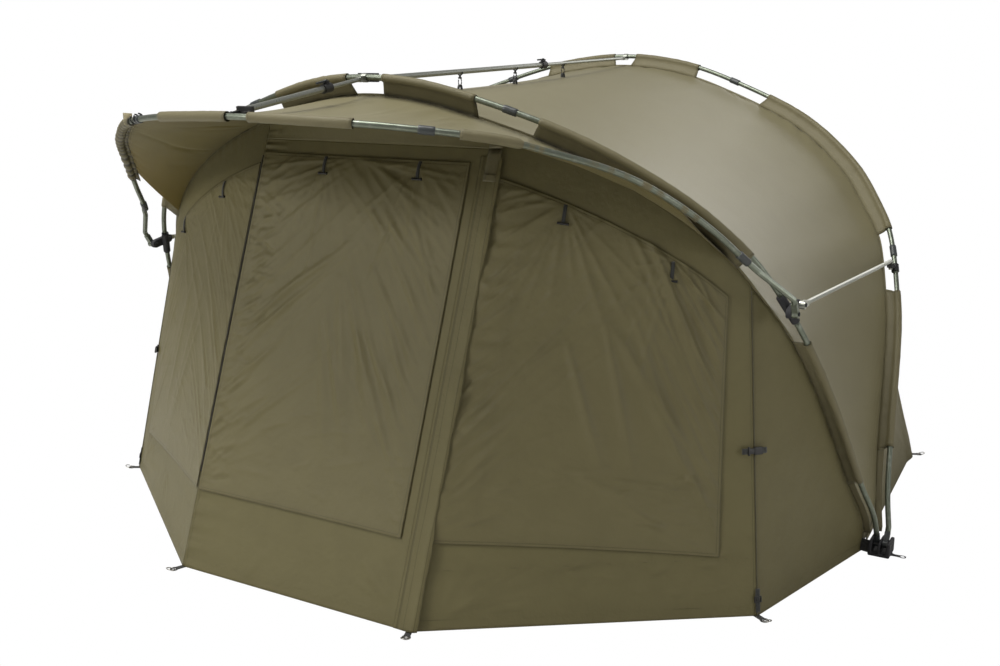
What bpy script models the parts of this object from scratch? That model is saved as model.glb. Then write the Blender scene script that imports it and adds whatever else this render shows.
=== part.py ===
"""Two-person bivvy tent with a pram-hood frame: rear rib, front rib and visor rib on ground hubs.

Metres, +Z up, -Y is the front. The origin lies on the ground, midway between the two hub pins.
"""

import math

import bmesh
import bpy
import numpy as np
from mathutils import Matrix, Vector

# frame sizes
HUB_HALF_SPAN = 1.557
HUB_HEIGHT = 0.035
FRONT_RISE = 1.799
FRONT_TILT = math.radians(-28.4)
REAR_RISE = 2.071
REAR_TILT = math.radians(36.3)
PIVOT_OUT = 0.0362
PIVOT_AHEAD = 0.0445
PIVOT_BELOW = 0.0029
VISOR_REACH = 0.925
VISOR_RISE = 0.582
VISOR_LEAN = math.radians(-33.0)
BAR_PIVOT_BEHIND = 0.075
BAR_PIVOT_ABOVE = 0.015
FOOT_STRAIGHT = 0.060
PIVOT_SPACING = 0.0285

# tubes and ferrules
POLE_RADIUS = 0.0095
THIN_RADIUS = 0.0070
THIN_PLAY = 0.0006
THIN_INSIDE = 0.180
FERRULE_RADIUS = 0.0122
FERRULE_LENGTH = 0.044
WELD_DEPTH = 0.004
GAP = 0.0003
OVERRUN = 0.020
WELD = 0.00001

# pivots: eyes, pins and the hub block
PIN_RADIUS = 0.0045
TURN_PLAY = 0.0004
PIN_HEAD = 0.003
PIN_HEAD_RADIUS = 0.0075
EYE_RADIUS = 0.0135
EYE_WIDTH = 0.018
STEM_HALF = 0.0085
STEM_LENGTH = 0.044
SLOT_PLAY = 0.0010
CHEEK = 0.0130
HUB_DEPTH = 0.088
HUB_TOP = 0.052
HUB_FLOOR = 0.011

# joint bracket on the front rib
BRACKET_AT = 1.600
BRACKET_HALF = 0.052
BRACKET_RADIUS = 0.0145
EAR_THICKNESS = 0.0180
EAR_RADIUS = 0.0165

# side bar and its socket on the rear rib
SIDE_BAR_RADIUS = 0.0080
SOCKET_AT = 1.838
SOCKET_FORWARD = 0.0240
SOCKET_INWARD = 0.0130
SOCKET_RADIUS = 0.0145
SOCKET_HEIGHT = 0.014
SOCKET_PLAY = 0.0024
SOCKET_HEADROOM = 0.0045
BAND_HALF = 0.015
PEG_DEPTH = 0.034
PEG_BEND = 0.014

# spine bars with their rings, clips, collars and levers
RING_RADIUS = 0.0145
RING_STEM = 0.036
REAR_RING_DROP = 0.005
REAR_CLIP_DROP = 0.005
FRONT_RING_DROP = 0.0
FRONT_CLIP_DROP = -0.0145
SPINE_RING_WIDTH = 0.018
SADDLE_WIDTH = 0.012
SADDLE_OFFSET = 0.0225
SADDLE_WALL = 0.0050
SADDLE_PLAY = 0.0006
SADDLE_TOP = math.radians(62)
CROSS_NEAR = 0.026
CROSS_FAR = 0.036
REAR_HOOK_ANGLES = (math.radians(20), math.radians(95))
FRONT_HOOK_ANGLES = (math.radians(46), math.radians(100))
COLLAR_RADIUS = 0.0150
COLLAR_LENGTH = 0.036
FRONT_COLLAR_Y = -1.073
REAR_COLLAR_Y = 0.359
LUG_WIDTH = 0.0160
LUG_HEIGHT = 0.0080
LEVER_WIDTH = 0.0076
LEVER_LENGTH = 0.046
LEVER_RADIUS = 0.0050
LEVER_PIN = 0.0018
LEVER_HALF = 0.0030
LEVER_CLEAR = 0.0015
LUG_LENGTH = 0.0140
HOOK_YS = (-0.275, 0.140, 0.560)
HOOK_WIDTH = 0.012
HOOK_WALL = 0.0040
HOOK_PLAY = 0.0008
HOOK_STEM_HALF = 0.0060

# cloth
FABRIC = 0.003
SEAM_GAP = 0.0004
HEM_HEIGHT = 0.0036
HEM_GAP = 0.0016
SLEEVE_WALL = 0.0014
SLEEVE_PLAY = 0.0007
SLEEVE_WRAP = math.radians(336)
FRONT_FIN = 0.068
LEG_FIN = 0.045
REAR_FIN = 0.056
VISOR_FIN = 0.026
VISOR_FIN_GAP = 0.0034
NOTCH_SHARE = 0.6
FIN_GAP = 0.007
VISOR_EDGE = 0.0045
SPINE_SAG = 0.022
SHOULDER_SAG = 0.050
VISOR_SAG = 0.045
WALL_SAG = 0.018
FLAP_LIFT = 0.0008
STORM_LIFT = 0.0022
STORM_WIDTH = 0.055

# ground line, right half
DOOR_HALF_WIDTH = 0.459
DOOR_FRONT_Y = -1.319
CORNER_INSET = 0.227
CORNER_Y = -0.689
HUB_SIDE_INSET = 0.063
FRONT_FOOT_Y = -0.020
REAR_FOOT_Y = 0.052
BACK_CORNER_INSET = 0.108
BACK_CORNER_Y = 1.152
BACK_X = 0.650
BACK_Y = 1.750
SEAM_FOOT = 0.130
FOOT_EDGE = 0.030
SHEET_THICKNESS = 0.003

# door
DOOR_TOP = 1.400
FOLD_GAP = 0.0032

# pegging tabs and toggles
TAB_RADIUS = 0.014
TAB_HOLE = 0.0065
TAB_HALF = 0.010
TAB_REACH = 0.042
STRAP_WIDTH = 0.012
STRAP_LENGTH = 0.062
STRAP_THICKNESS = 0.0022
TOGGLE_RADIUS = 0.0050
TOGGLE_LENGTH = 0.036
STRAP_SINK = 0.0005

# how far round each rib a thing lies, in metres of pole from the crown
DOOR_SEAM_AT = 0.500
SIDE_SEAM_AT = 1.480
BACK_SEAM_AT = 0.750
BACK_CORNER_AT = 1.500
FRONT_FERRULE_AT = 0.520
REAR_FERRULES_AT = (0.585, 1.762)
VISOR_FERRULE_AT = 0.560
VISOR_LEG_LENGTH = 0.27167
FRONT_SLEEVES = ((0.400, 0.070), (1.385, 0.620), (2.345, 1.740))
REAR_SLEEVES = ((0.386, 0.055), (1.660, 0.776), (2.570, 1.940))
VISOR_SLEEVES = ((0.360, 0.040), (1.390, 0.650))
VISOR_PANEL_AT = 1.345

# rib outlines, right half, foot to crown: share of the half span, share of the rise
FRONT_SHARES = ((0.985, 0.085), (0.959, 0.173), (0.916, 0.360), (0.861, 0.525), (0.790, 0.657),
                (0.692, 0.757), (0.575, 0.834), (0.445, 0.897), (0.299, 0.947), (0.143, 0.987))
REAR_SHARES = ((0.990, 0.100), (0.9685, 0.229), (0.944, 0.386), (0.920, 0.476), (0.882, 0.579),
               (0.837, 0.648), (0.741, 0.749), (0.578, 0.853), (0.3455, 0.940), (0.178, 0.983))
# visor rib: share of the half width, share of the reach, share of the rise
VISOR_SHARES = ((0.962, 0.085, 0.170), (0.914, 0.143, 0.284),
                (0.862, 0.254, 0.451), (0.805, 0.360, 0.593), (0.746, 0.463, 0.708),
                (0.682, 0.561, 0.791), (0.612, 0.646, 0.850), (0.541, 0.723, 0.904),
                (0.466, 0.795, 0.935), (0.321, 0.905, 0.972), (0.180, 0.970, 0.990))
# where the panels' lines lie, as shares of each panel's width and height
DOOR_WIDTH_SHARES = (0, 0.27, 0.54, 0.81, 1)
PANEL_WIDTH_SHARES = (0, 0.10, 0.26, 0.42, 0.58, 0.74, 0.88, 1)
DOOR_HEIGHT_SHARES = (0, 0.176, 0.34, 0.50, 0.66, 0.81, 0.955, 1)
PANEL_HEIGHT_SHARES = (0, 0.17, 0.34, 0.50, 0.66, 0.79, 0.90, 1)
SHELL_SHARES = (0, 0.12, 0.30, 0.50, 0.70, 0.88, 1)
# places of the toggles and straps, as shares of a panel's width and height
DOOR_TOGGLE_SHARES = ((0.29, 0.85), (0.67, 0.85))
WINDOW_TOGGLE_SHARES = ((0.28, 0.85), (0.63, 0.84))
SIDE_STRAP_SHARES = (0.06, 0.55)
STRAP_STEP_SHARE = 0.05
WRAP_STEPS = 8
# how many flat sides a round thing has, and how many steps the parts are drawn in
ROUND_SIDES = 16
SMALL_SIDES = 12
EYE_STEPS = 14
EAR_STEPS = 9
HOOK_STEPS = 5
FRONT_RIB_STEPS = 33
REAR_RIB_STEPS = 37
VISOR_RIB_STEPS = 25
BACK_STEPS = 5
CORNER_STEPS = 5
REAR_LEG_STEPS = 7
FRONT_LEG_STEPS = 6
WALL_STEPS = 5
VISOR_CLOTH_STEPS = 4
HEADER_STEPS = 2

COLOURS = {
    "pole": ((0.30, 0.33, 0.29), 0.35, 0.9),
    "moulded": ((0.02, 0.02, 0.022), 0.5, 0.0),
    "steel": ((0.62, 0.62, 0.60), 0.3, 1.0),
    "shell": ((0.23, 0.205, 0.13), 0.6, 0.0),
    "wall": ((0.145, 0.125, 0.075), 0.7, 0.0),
    "webbing": ((0.03, 0.03, 0.028), 0.8, 0.0),
    "floor": ((0.05, 0.055, 0.045), 0.8, 0.0),
}
RIGHT = np.array([1.0, 0.0, 0.0])
UP = np.array([0.0, 0.0, 1.0])
SIDES = (("right", 1), ("left", -1))


def new_collection(name):
    """A new collection in the scene."""
    found = bpy.data.collections.new(name)
    bpy.context.scene.collection.children.link(found)
    return found


for old in list(bpy.data.objects):
    bpy.data.objects.remove(old)
PARTS = new_collection("bivvy_tent")
CUTTERS = new_collection("cutters")


def material(name):
    """The part's plain material of this name."""
    found = bpy.data.materials.get(name)
    if found is None:
        colour, rough, metal = COLOURS[name]
        found = bpy.data.materials.new(name)
        found.use_nodes = True
        shader = found.node_tree.nodes["Principled BSDF"]
        shader.inputs["Base Color"].default_value = (*colour, 1)
        shader.inputs["Roughness"].default_value = rough
        shader.inputs["Metallic"].default_value = metal
    return found


# vectors and lines


def unit(vector):
    """The vector at length one."""
    return vector / np.linalg.norm(vector)


def mirrored(point, side):
    """The point, on the right for side 1 and on the left for side -1."""
    return np.array([point[0] * side, point[1], point[2]])


def smooth_curve(points, per_span=12):
    """A dense curve through the points, with a steady tangent at each."""
    held = [2 * points[0] - points[1], *points, 2 * points[-1] - points[-2]]
    dense = []
    for p0, p1, p2, p3 in zip(held, held[1:], held[2:], held[3:]):
        for k in range(per_span):
            t = k / per_span
            dense.append(0.5 * (2 * p1 + (p2 - p0) * t + (2 * p0 - 5 * p1 + 4 * p2 - p3) * t ** 2
                                + (3 * p1 - p0 - 3 * p2 + p3) * t ** 3))
    return np.array(dense + [points[-1]])


def broken(corners, counts):
    """Points along straight runs between corners, counts[k] steps in run k."""
    found = [np.array(corners[0], float)]
    for a, b, count in zip(corners, corners[1:], counts):
        a, b = np.array(a, float), np.array(b, float)
        found += [a + (b - a) * k / count for k in range(1, count + 1)]
    return np.array(found)


class Rib:
    """A pole's line, from the right foot over the crown to the left foot.

    Places along it are metres of pole from the crown, positive on the right. The pole runs in
    straight steps, and no corner lies within reach of a place that is kept straight.
    """

    def __init__(self, right_half, crown, steps, straight_at):
        left_half = [mirrored(p, -1) for p in reversed(right_half)]
        over = smooth_curve(right_half[1:] + [crown] + left_half[:-1])
        self.dense = np.vstack([right_half[0], over, left_half[-1]])
        top = self.lengths(over)[0]
        places = np.linspace(top, -top, steps + 1)
        for centre, reach in straight_at:
            for k, place_on in enumerate(places[1:-1], 1):
                if abs(place_on - centre) < reach:
                    places[k] = centre + math.copysign(reach, place_on - centre)
        corners = [self.smooth_at(p) for p in places]
        self.line = np.vstack([right_half[0], corners, left_half[-1]])

    def lengths(self, points):
        """Each point's place along the line."""
        steps = np.linalg.norm(np.diff(points, axis=0), axis=1)
        along = np.concatenate([[0], np.cumsum(steps)])
        return along[-1] / 2 - along

    @property
    def half(self):
        """Metres of pole from the crown to a foot."""
        return self.lengths(self.dense)[0]

    def smooth_at(self, place_on):
        """The point at this place on the smooth curve."""
        along = self.lengths(self.dense)
        return np.array([np.interp(-place_on, -along, self.dense[:, k]) for k in range(3)])

    def corner_places(self):
        """The smooth curve's place at each corner of the straight steps."""
        along = self.lengths(self.line)
        return along * self.half / along[0]

    def at(self, place_on):
        """The point at this place, on the pole's own straight steps."""
        along = self.corner_places()
        return np.array([np.interp(-place_on, -along, self.line[:, k]) for k in range(3)])

    def cut(self, high, low):
        """The pole's corners between two places, with both ends."""
        along = self.corner_places()
        inner = [p for p, s in zip(self.line, along) if low + GAP < s < high - GAP]
        return np.array([self.at(high), *inner, self.at(low)])


def arch_points(foot_x, rise, tilt, shares):
    """The right half of a flat arch that leans by tilt, from its foot up."""
    flat = [(foot_x, 0.0), (foot_x, FOOT_STRAIGHT)]
    flat += [(HUB_HALF_SPAN * x, rise * r) for x, r in shares]
    return [np.array([x, r * math.sin(tilt), HUB_HEIGHT + r * math.cos(tilt)]) for x, r in flat]


def leaning(tilt):
    """The upward direction in a plane that leans by tilt."""
    return np.array([0.0, math.sin(tilt), math.cos(tilt)])


FRONT_X = HUB_HALF_SPAN - PIVOT_SPACING / 2
REAR_X = HUB_HALF_SPAN + PIVOT_SPACING / 2
CORNER_X = HUB_HALF_SPAN - CORNER_INSET
HUB_SIDE_X = HUB_HALF_SPAN - HUB_SIDE_INSET
BACK_CORNER_X = HUB_HALF_SPAN - BACK_CORNER_INSET
HUB_AXIS = np.array([0.0, 0.0, HUB_HEIGHT])
FRONT_UP = leaning(FRONT_TILT)
REAR_UP = leaning(REAR_TILT)
VISOR_UP = leaning(VISOR_LEAN)
FRONT_BACK = np.cross(FRONT_UP, RIGHT)
REAR_BACK = np.cross(REAR_UP, RIGHT)
FRONT_CROWN = HUB_AXIS + FRONT_RISE * FRONT_UP
REAR_CROWN = HUB_AXIS + REAR_RISE * REAR_UP


def both(places, half_length):
    """Stretches that are kept straight, on both sides of the crown."""
    reach = half_length + WELD_DEPTH
    return [(p, reach) for p in places] + [(-p, reach) for p in places]


front = Rib(arch_points(FRONT_X, FRONT_RISE, FRONT_TILT, FRONT_SHARES), FRONT_CROWN,
            FRONT_RIB_STEPS, both([FRONT_FERRULE_AT], FERRULE_LENGTH / 2)
            + both([BRACKET_AT], BRACKET_HALF))
rear = Rib(arch_points(REAR_X, REAR_RISE, REAR_TILT, REAR_SHARES), REAR_CROWN, REAR_RIB_STEPS,
           both(REAR_FERRULES_AT, FERRULE_LENGTH / 2) + both([SOCKET_AT], BAND_HALF))
VISOR_FOOT = front.at(BRACKET_AT) + (PIVOT_OUT, -PIVOT_AHEAD, -PIVOT_BELOW)
BAR_FOOT = VISOR_FOOT + (0, BAR_PIVOT_BEHIND, BAR_PIVOT_ABOVE)
VISOR_CROWN = VISOR_FOOT * (0, 1, 1) + (0, -VISOR_REACH, VISOR_RISE)
visor_half = [VISOR_FOOT, VISOR_FOOT + FOOT_STRAIGHT * VISOR_UP]
visor_half += [VISOR_FOOT * (x, 1, 1) + (0, -VISOR_REACH * y, VISOR_RISE * z)
               for x, y, z in VISOR_SHARES]
visor_length = Rib(visor_half, VISOR_CROWN, VISOR_RIB_STEPS, []).half
VISOR_FERRULES_AT = (VISOR_FERRULE_AT, visor_length - VISOR_LEG_LENGTH)
visor = Rib(visor_half, VISOR_CROWN, VISOR_RIB_STEPS, both(VISOR_FERRULES_AT, FERRULE_LENGTH / 2))

# solids


def place(made, name, finish, collection=None):
    """Name an object, link it, and give it its material."""
    made.name = name
    (collection or PARTS).objects.link(made)
    if finish:
        made.data.materials.append(material(finish))
    return made


def placement(origin, x_axis, y_axis, z_axis):
    """The placement whose own axes point along the three directions."""
    rows = [[x_axis[k], y_axis[k], z_axis[k], origin[k]] for k in range(3)]
    return Matrix(rows + [[0, 0, 0, 1]])


def toward(origin, direction):
    """The placement whose own Z points along the direction."""
    turn = Vector(direction).to_track_quat("Z", "Y").to_matrix().to_4x4()
    return Matrix.Translation(Vector(origin)) @ turn


def edgewise(origin, along):
    """The placement of a plate that stands in the Y-Z plane, its own X along the direction."""
    return placement(origin, along, np.cross(RIGHT, along), RIGHT)


def rod(points, radius):
    """A round bar through the points."""
    curve = bpy.data.curves.new("rod", "CURVE")
    curve.dimensions = "3D"
    curve.bevel_depth = radius
    curve.bevel_resolution = 2
    curve.use_fill_caps = True
    spline = curve.splines.new("POLY")
    spline.points.add(len(points) - 1)
    for corner, point in zip(spline.points, points):
        corner.co = (*point, 1)
    return bpy.data.objects.new("rod", curve)


def plate(outlines, thickness, where):
    """A flat plate: the first outline is its edge, any others are holes."""
    curve = bpy.data.curves.new("plate", "CURVE")
    curve.dimensions = "2D"
    curve.fill_mode = "BOTH"
    curve.extrude = thickness / 2
    for outline in outlines:
        spline = curve.splines.new("POLY")
        spline.points.add(len(outline) - 1)
        for corner, (x, y) in zip(spline.points, outline):
            corner.co = (x, y, 0, 1)
        spline.use_cyclic_u = True
    made = bpy.data.objects.new("plate", curve)
    made.matrix_world = where
    return made


def box(low, high, where=None):
    """A box between two corners."""
    low, high = np.array(low, float), np.array(high, float)
    shape = bmesh.new()
    bmesh.ops.create_cube(shape, size=1, matrix=Matrix.Translation(Vector((low + high) / 2))
                          @ Matrix.Diagonal((*(high - low), 1)))
    return finished(shape, where)


def cylinder(start, end, radius, sides=ROUND_SIDES):
    """A round bar between two points."""
    start, end = np.array(start, float), np.array(end, float)
    shape = bmesh.new()
    bmesh.ops.create_cone(shape, cap_ends=True, segments=sides, radius1=radius, radius2=radius,
                          depth=np.linalg.norm(end - start))
    return finished(shape, toward((start + end) / 2, end - start))


def finished(shape, where=None):
    """The object that holds this shape."""
    mesh = bpy.data.meshes.new("shape")
    shape.to_mesh(mesh)
    shape.free()
    made = bpy.data.objects.new("shape", mesh)
    if where is not None:
        made.matrix_world = where
    return made


def hollow(start, end, outer, bore, sides=SMALL_SIDES):
    """A tube between two points, turned from its wall's section."""
    start, end = np.array(start, float), np.array(end, float)
    length = np.linalg.norm(end - start)
    mesh = bpy.data.meshes.new("tube")
    wall = [(outer, 0, length), (outer, 0, 0), (bore, 0, 0), (bore, 0, length)]
    mesh.from_pydata(wall, [(0, 1), (1, 2), (2, 3), (3, 0)], [])
    made = bpy.data.objects.new("tube", mesh)
    made.matrix_world = toward(start, end - start)
    turn = made.modifiers.new("turn", "SCREW")
    turn.steps = turn.render_steps = sides
    turn.use_merge_vertices = True
    turn.merge_threshold = WELD
    return made


def as_mesh(made):
    """The object's evaluated shape as a welded mesh in world space."""
    if made.name not in bpy.context.scene.collection.all_objects:
        bpy.context.scene.collection.objects.link(made)
    bpy.context.view_layer.update()
    seen = made.evaluated_get(bpy.context.evaluated_depsgraph_get())
    mesh = bpy.data.meshes.new_from_object(seen)
    shape = bmesh.new()
    shape.from_mesh(mesh)
    bmesh.ops.transform(shape, matrix=made.matrix_world, verts=shape.verts)
    bmesh.ops.remove_doubles(shape, verts=shape.verts, dist=WELD)
    bpy.data.meshes.remove(mesh)
    bpy.data.objects.remove(made)
    return finished(shape)


def change(body, tool, operation):
    """Join the tool to the body, or cut it away."""
    tool.name = "tool_" + body.name
    CUTTERS.objects.link(tool)
    tool.hide_render = True
    tool.display_type = "WIRE"
    step = body.modifiers.new(operation.lower(), "BOOLEAN")
    step.operation = operation
    step.object = tool
    return body


def joined(body, *tools):
    """The body with the tools joined on."""
    for tool in tools:
        change(body, tool, "UNION")
    return body


def cut_by(body, *tools):
    """The body with the tools cut away."""
    for tool in tools:
        change(body, tool, "DIFFERENCE")
    return body


def circle(radius, count=ROUND_SIDES, start=0.0, turn=2 * math.pi, centre=(0, 0)):
    """Points on a circle, or on an arc of it when turn is less."""
    last = count if turn == 2 * math.pi else count - 1
    return [(centre[0] + radius * math.cos(start + turn * k / last),
             centre[1] + radius * math.sin(start + turn * k / last)) for k in range(count)]


def eye_outline(radius, half_width, reach, shift=0.0):
    """A ring at the origin with a stem along +X, the stem moved sideways by shift."""
    upper = math.asin((shift + half_width) / radius)
    lower = math.asin((shift - half_width) / radius)
    ring = circle(radius, EYE_STEPS, upper, 2 * math.pi + lower - upper)
    return ring + [(reach, shift - half_width), (reach, shift + half_width)]


# cloth


def facing_out(grid, inside):
    """The grid's unit normals, pointing away from the inside point."""
    normals = np.cross(np.gradient(grid, axis=0), np.gradient(grid, axis=1))
    lengths = np.linalg.norm(normals, axis=2, keepdims=True)
    normals = normals / np.maximum(lengths, WELD * WELD)
    mean = (normals * (grid - inside)).sum()
    return normals * math.copysign(1, mean)


INSIDE = (HUB_AXIS + (FRONT_CROWN + REAR_CROWN) / 2) / 2


def sagged(grid, depth):
    """The grid with each point moved inward by its depth."""
    return grid - facing_out(grid, INSIDE) * depth[..., None]


def drawn_in(grid, first=True, last=True, start=True, end=True, gap=SEAM_GAP):
    """The grid with the chosen edges moved inward along the cloth by the gap."""
    grid = grid.copy()
    if first:
        grid[0] += gap * (grid[1] - grid[0]) / np.linalg.norm(grid[1] - grid[0], axis=1)[:, None]
    if last:
        grid[-1] += gap * (grid[-2] - grid[-1]) / np.linalg.norm(grid[-2] - grid[-1], axis=1)[:, None]
    if start:
        step = grid[:, 1] - grid[:, 0]
        grid[:, 0] += gap * step / np.linalg.norm(step, axis=1)[:, None]
    if end:
        step = grid[:, -2] - grid[:, -1]
        grid[:, -1] += gap * step / np.linalg.norm(step, axis=1)[:, None]
    return grid


def sheet(grid, thickness, outward, left_out=()):
    """Cloth over a grid of points, thickened on the side that outward points to.

    The squares named in left_out, by row and column, are notches.
    """
    rows, columns = grid.shape[:2]
    shape = bmesh.new()
    bmesh.ops.create_grid(shape, x_segments=columns - 1, y_segments=rows - 1, size=1)
    where = {}
    for vert in shape.verts:
        column = round((vert.co.x + 1) / 2 * (columns - 1))
        row = round((vert.co.y + 1) / 2 * (rows - 1))
        where[vert] = (row, column)
        vert.co = grid[row, column]
    notches = [face for face in shape.faces
               if min(where[vert] for vert in face.verts) in left_out]
    bmesh.ops.delete(shape, geom=notches, context="FACES")
    shape.normal_update()
    facing = sum((face.normal.dot(Vector(outward(np.array(face.calc_center_median()))))
                  for face in shape.faces))
    if facing < 0:
        bmesh.ops.reverse_faces(shape, faces=shape.faces)
    made = finished(shape)
    thicken = made.modifiers.new("thicken", "SOLIDIFY")
    thicken.thickness = thickness
    thicken.offset = 1
    return made


def away_from_inside(point):
    """The direction from the middle of the tent."""
    return point - INSIDE


def cloth(name, grid, finish, thickness=FABRIC):
    """A panel of the tent."""
    return place(sheet(grid, thickness, away_from_inside), name, finish)


def between(low, high, shares):
    """A grid of straight lines from the low edge's points to the high edge's."""
    low, high, shares = np.array(low), np.array(high), np.array(shares)
    return low[None] + (high - low)[None] * shares[:, None, None]


def hump(shares):
    """Nothing at both ends and one in the middle."""
    shares = np.array(shares)
    return 4 * shares * (1 - shares)


def fin_depth(place_on, top, leg):
    """How far the cloth's seam lies inside the pole."""
    t = np.clip((abs(place_on) - SIDE_SEAM_AT) / (FRONT_SLEEVES[2][1] - SIDE_SEAM_AT), 0, 1)
    return top + (leg - top) * t * t * (3 - 2 * t)


def outward_of(rib, back, place_on):
    """The direction square to the pole, out of the arch, in its plane."""
    step = FOOT_STRAIGHT / 2
    run = unit(rib.smooth_at(place_on - step) - rib.smooth_at(place_on + step))
    return unit(np.cross(back, run))


def front_seam(place_on):
    """Where the cloth meets the front rib's fin."""
    depth = fin_depth(place_on, FRONT_FIN, LEG_FIN)
    return front.smooth_at(place_on) - depth * outward_of(front, FRONT_BACK, place_on)


def rear_seam(place_on):
    """Where the cloth meets the rear rib's fin."""
    depth = fin_depth(place_on, REAR_FIN, LEG_FIN)
    return rear.smooth_at(place_on) - depth * outward_of(rear, REAR_BACK, place_on)


def ladder(*runs):
    """Places along a rib: each run is (start, end, shares between them)."""
    places = [runs[0][0]]
    for start, end, shares in runs:
        places += [start + (end - start) * share for share in shares[1:]]
    return places


def even(count):
    """Even shares from nothing to one."""
    return [k / count for k in range(count + 1)]


def on_grid(grid, across, height):
    """The point and outward normal at a share of the way across and up a grid of cloth."""
    normals = facing_out(grid, INSIDE)
    rows, columns = grid.shape[:2]
    row, column = height * (rows - 1), across * (columns - 1)
    i, j = min(int(row), rows - 2), min(int(column), columns - 2)
    a, b = row - i, column - j
    found = []
    for field in (grid, normals):
        low = field[i, j] * (1 - b) + field[i, j + 1] * b
        high = field[i + 1, j] * (1 - b) + field[i + 1, j + 1] * b
        found.append(low * (1 - a) + high * a)
    return found[0], unit(found[1])


# groundsheet with its pegging tabs, and the hubs

ground_half = [(DOOR_HALF_WIDTH, DOOR_FRONT_Y), (CORNER_X, CORNER_Y), (HUB_SIDE_X, FRONT_FOOT_Y),
               (HUB_SIDE_X, REAR_FOOT_Y), (BACK_CORNER_X, BACK_CORNER_Y), (BACK_X, BACK_Y)]
ground = [np.array(p) for p in ground_half + [(-x, y) for x, y in reversed(ground_half)]]


def inward_bisector(index):
    """How a corner of the ground line moves inward for each metre of inset."""
    before, here, after = (ground[(index + k) % len(ground)] for k in (-1, 0, 1))
    normals = [np.array([-(b - a)[1], (b - a)[0]]) / np.linalg.norm(b - a)
               for a, b in ((before, here), (here, after))]
    return (normals[0] + normals[1]) / (1 + normals[0] @ normals[1])


def tab(centre, inward):
    """A webbing tab with a hole for a peg, its stem running inward."""
    inward = np.array([*inward, 0])
    where = placement((*centre, SHEET_THICKNESS / 2), inward, np.cross(UP, inward), UP)
    return as_mesh(plate([eye_outline(TAB_RADIUS, TAB_HALF, TAB_REACH), circle(TAB_HOLE, SMALL_SIDES)],
                         SHEET_THICKNESS, where))


sheet_edge = [p + HEM_GAP * inward_bisector(k) for k, p in enumerate(ground)]
floor = as_mesh(plate([sheet_edge], SHEET_THICKNESS,
                      Matrix.Translation((0, 0, SHEET_THICKNESS / 2))))
tabs = []
for k, corner in enumerate(ground):
    if abs(corner[0]) != HUB_SIDE_X:
        inward = unit(inward_bisector(k))
        tabs.append(tab(sheet_edge[k] - inward * (TAB_REACH - TAB_HALF), inward))
place(joined(floor, *tabs), "groundsheet", "floor")

HUB_INNER = FRONT_X - EYE_WIDTH / 2 - SLOT_PLAY - CHEEK
HUB_OUTER = REAR_X + EYE_WIDTH / 2 + SLOT_PLAY + CHEEK


def pin(start, end, radius, head_radius, head):
    """A pin with a head at each end, the heads outside start and end."""
    start, end = np.array(start, float), np.array(end, float)
    run = np.linalg.norm(end - start) + 2 * head
    mesh = bpy.data.meshes.new("pin")
    profile = [(0, 0, run), (head_radius, 0, run), (head_radius, 0, run - head),
               (radius, 0, run - head), (radius, 0, head), (head_radius, 0, head),
               (head_radius, 0, 0), (0, 0, 0)]
    mesh.from_pydata(profile, [(k, k + 1) for k in range(len(profile) - 1)], [])
    made = bpy.data.objects.new("pin", mesh)
    along = (end - start) / np.linalg.norm(end - start)
    made.matrix_world = toward(start - head * along, along)
    turn = made.modifiers.new("turn", "SCREW")
    turn.steps = turn.render_steps = SMALL_SIDES
    turn.use_merge_vertices = True
    turn.merge_threshold = WELD
    return as_mesh(made)


def across_x(side, low, high, y, z):
    """The two ends of a line along X at this side."""
    return mirrored((low, y, z), side), mirrored((high, y, z), side)


for label, side in SIDES:
    block = box(np.minimum(*across_x(side, HUB_INNER, HUB_OUTER, -HUB_DEPTH / 2, 0)),
                np.maximum(*across_x(side, HUB_INNER, HUB_OUTER, HUB_DEPTH / 2, HUB_TOP)))
    slots = []
    for centre in (FRONT_X, REAR_X):
        half = EYE_WIDTH / 2 + SLOT_PLAY
        slots.append(box((side * centre - half, -HUB_DEPTH, HUB_FLOOR),
                         (side * centre + half, HUB_DEPTH, HUB_TOP + OVERRUN)))
    rivet = pin(*across_x(side, HUB_INNER + GAP, HUB_OUTER - GAP, 0, HUB_HEIGHT),
                PIN_RADIUS, PIN_HEAD_RADIUS, PIN_HEAD)
    peg_tab = tab((side * (HUB_OUTER + TAB_REACH - WELD_DEPTH), 0), (-side, 0))
    place(joined(cut_by(block, *slots), rivet, peg_tab), "hub_" + label, "moulded")

# poles of the three ribs; each shoulder pole carries the ferrules that its neighbours butt on


def eye(centre, along):
    """The flat end of a pole, with the bore that turns on a pin."""
    return plate([eye_outline(EYE_RADIUS, STEM_HALF, STEM_LENGTH),
                  circle(PIN_RADIUS + TURN_PLAY)], EYE_WIDTH, edgewise(centre, along))


def pole(name, rib, high, low, ferrules_at=(), fittings=()):
    """A length of pole with its ferrules and fittings joined on."""
    body = rod(rib.cut(high, low), POLE_RADIUS)
    tools = [cylinder(rib.at(s + FERRULE_LENGTH / 2), rib.at(s - FERRULE_LENGTH / 2),
                      FERRULE_RADIUS, SMALL_SIDES) for s in ferrules_at]
    tools += [as_mesh(fitting) for fitting in fittings]
    if tools:
        body = joined(as_mesh(body), *tools)
    place(body, name, "pole")


FERRULE_END = FERRULE_LENGTH / 2 + GAP
FERRULE_INSIDE = FERRULE_LENGTH / 2 - WELD_DEPTH
FOOT_END = STEM_LENGTH + GAP
BRACKET_END = BRACKET_HALF + GAP
for name, rib, joint in (("front_pole_crown", front, FRONT_FERRULE_AT),
                         ("rear_pole_crown", rear, REAR_FERRULES_AT[0]),
                         ("visor_pole_crown", visor, VISOR_FERRULES_AT[0])):
    pole(name, rib, joint - FERRULE_END, FERRULE_END - joint)


def on_side(side, high, low):
    """The two places, in order from right to left, on this side."""
    return (high, low) if side > 0 else (-low, -high)


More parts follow.
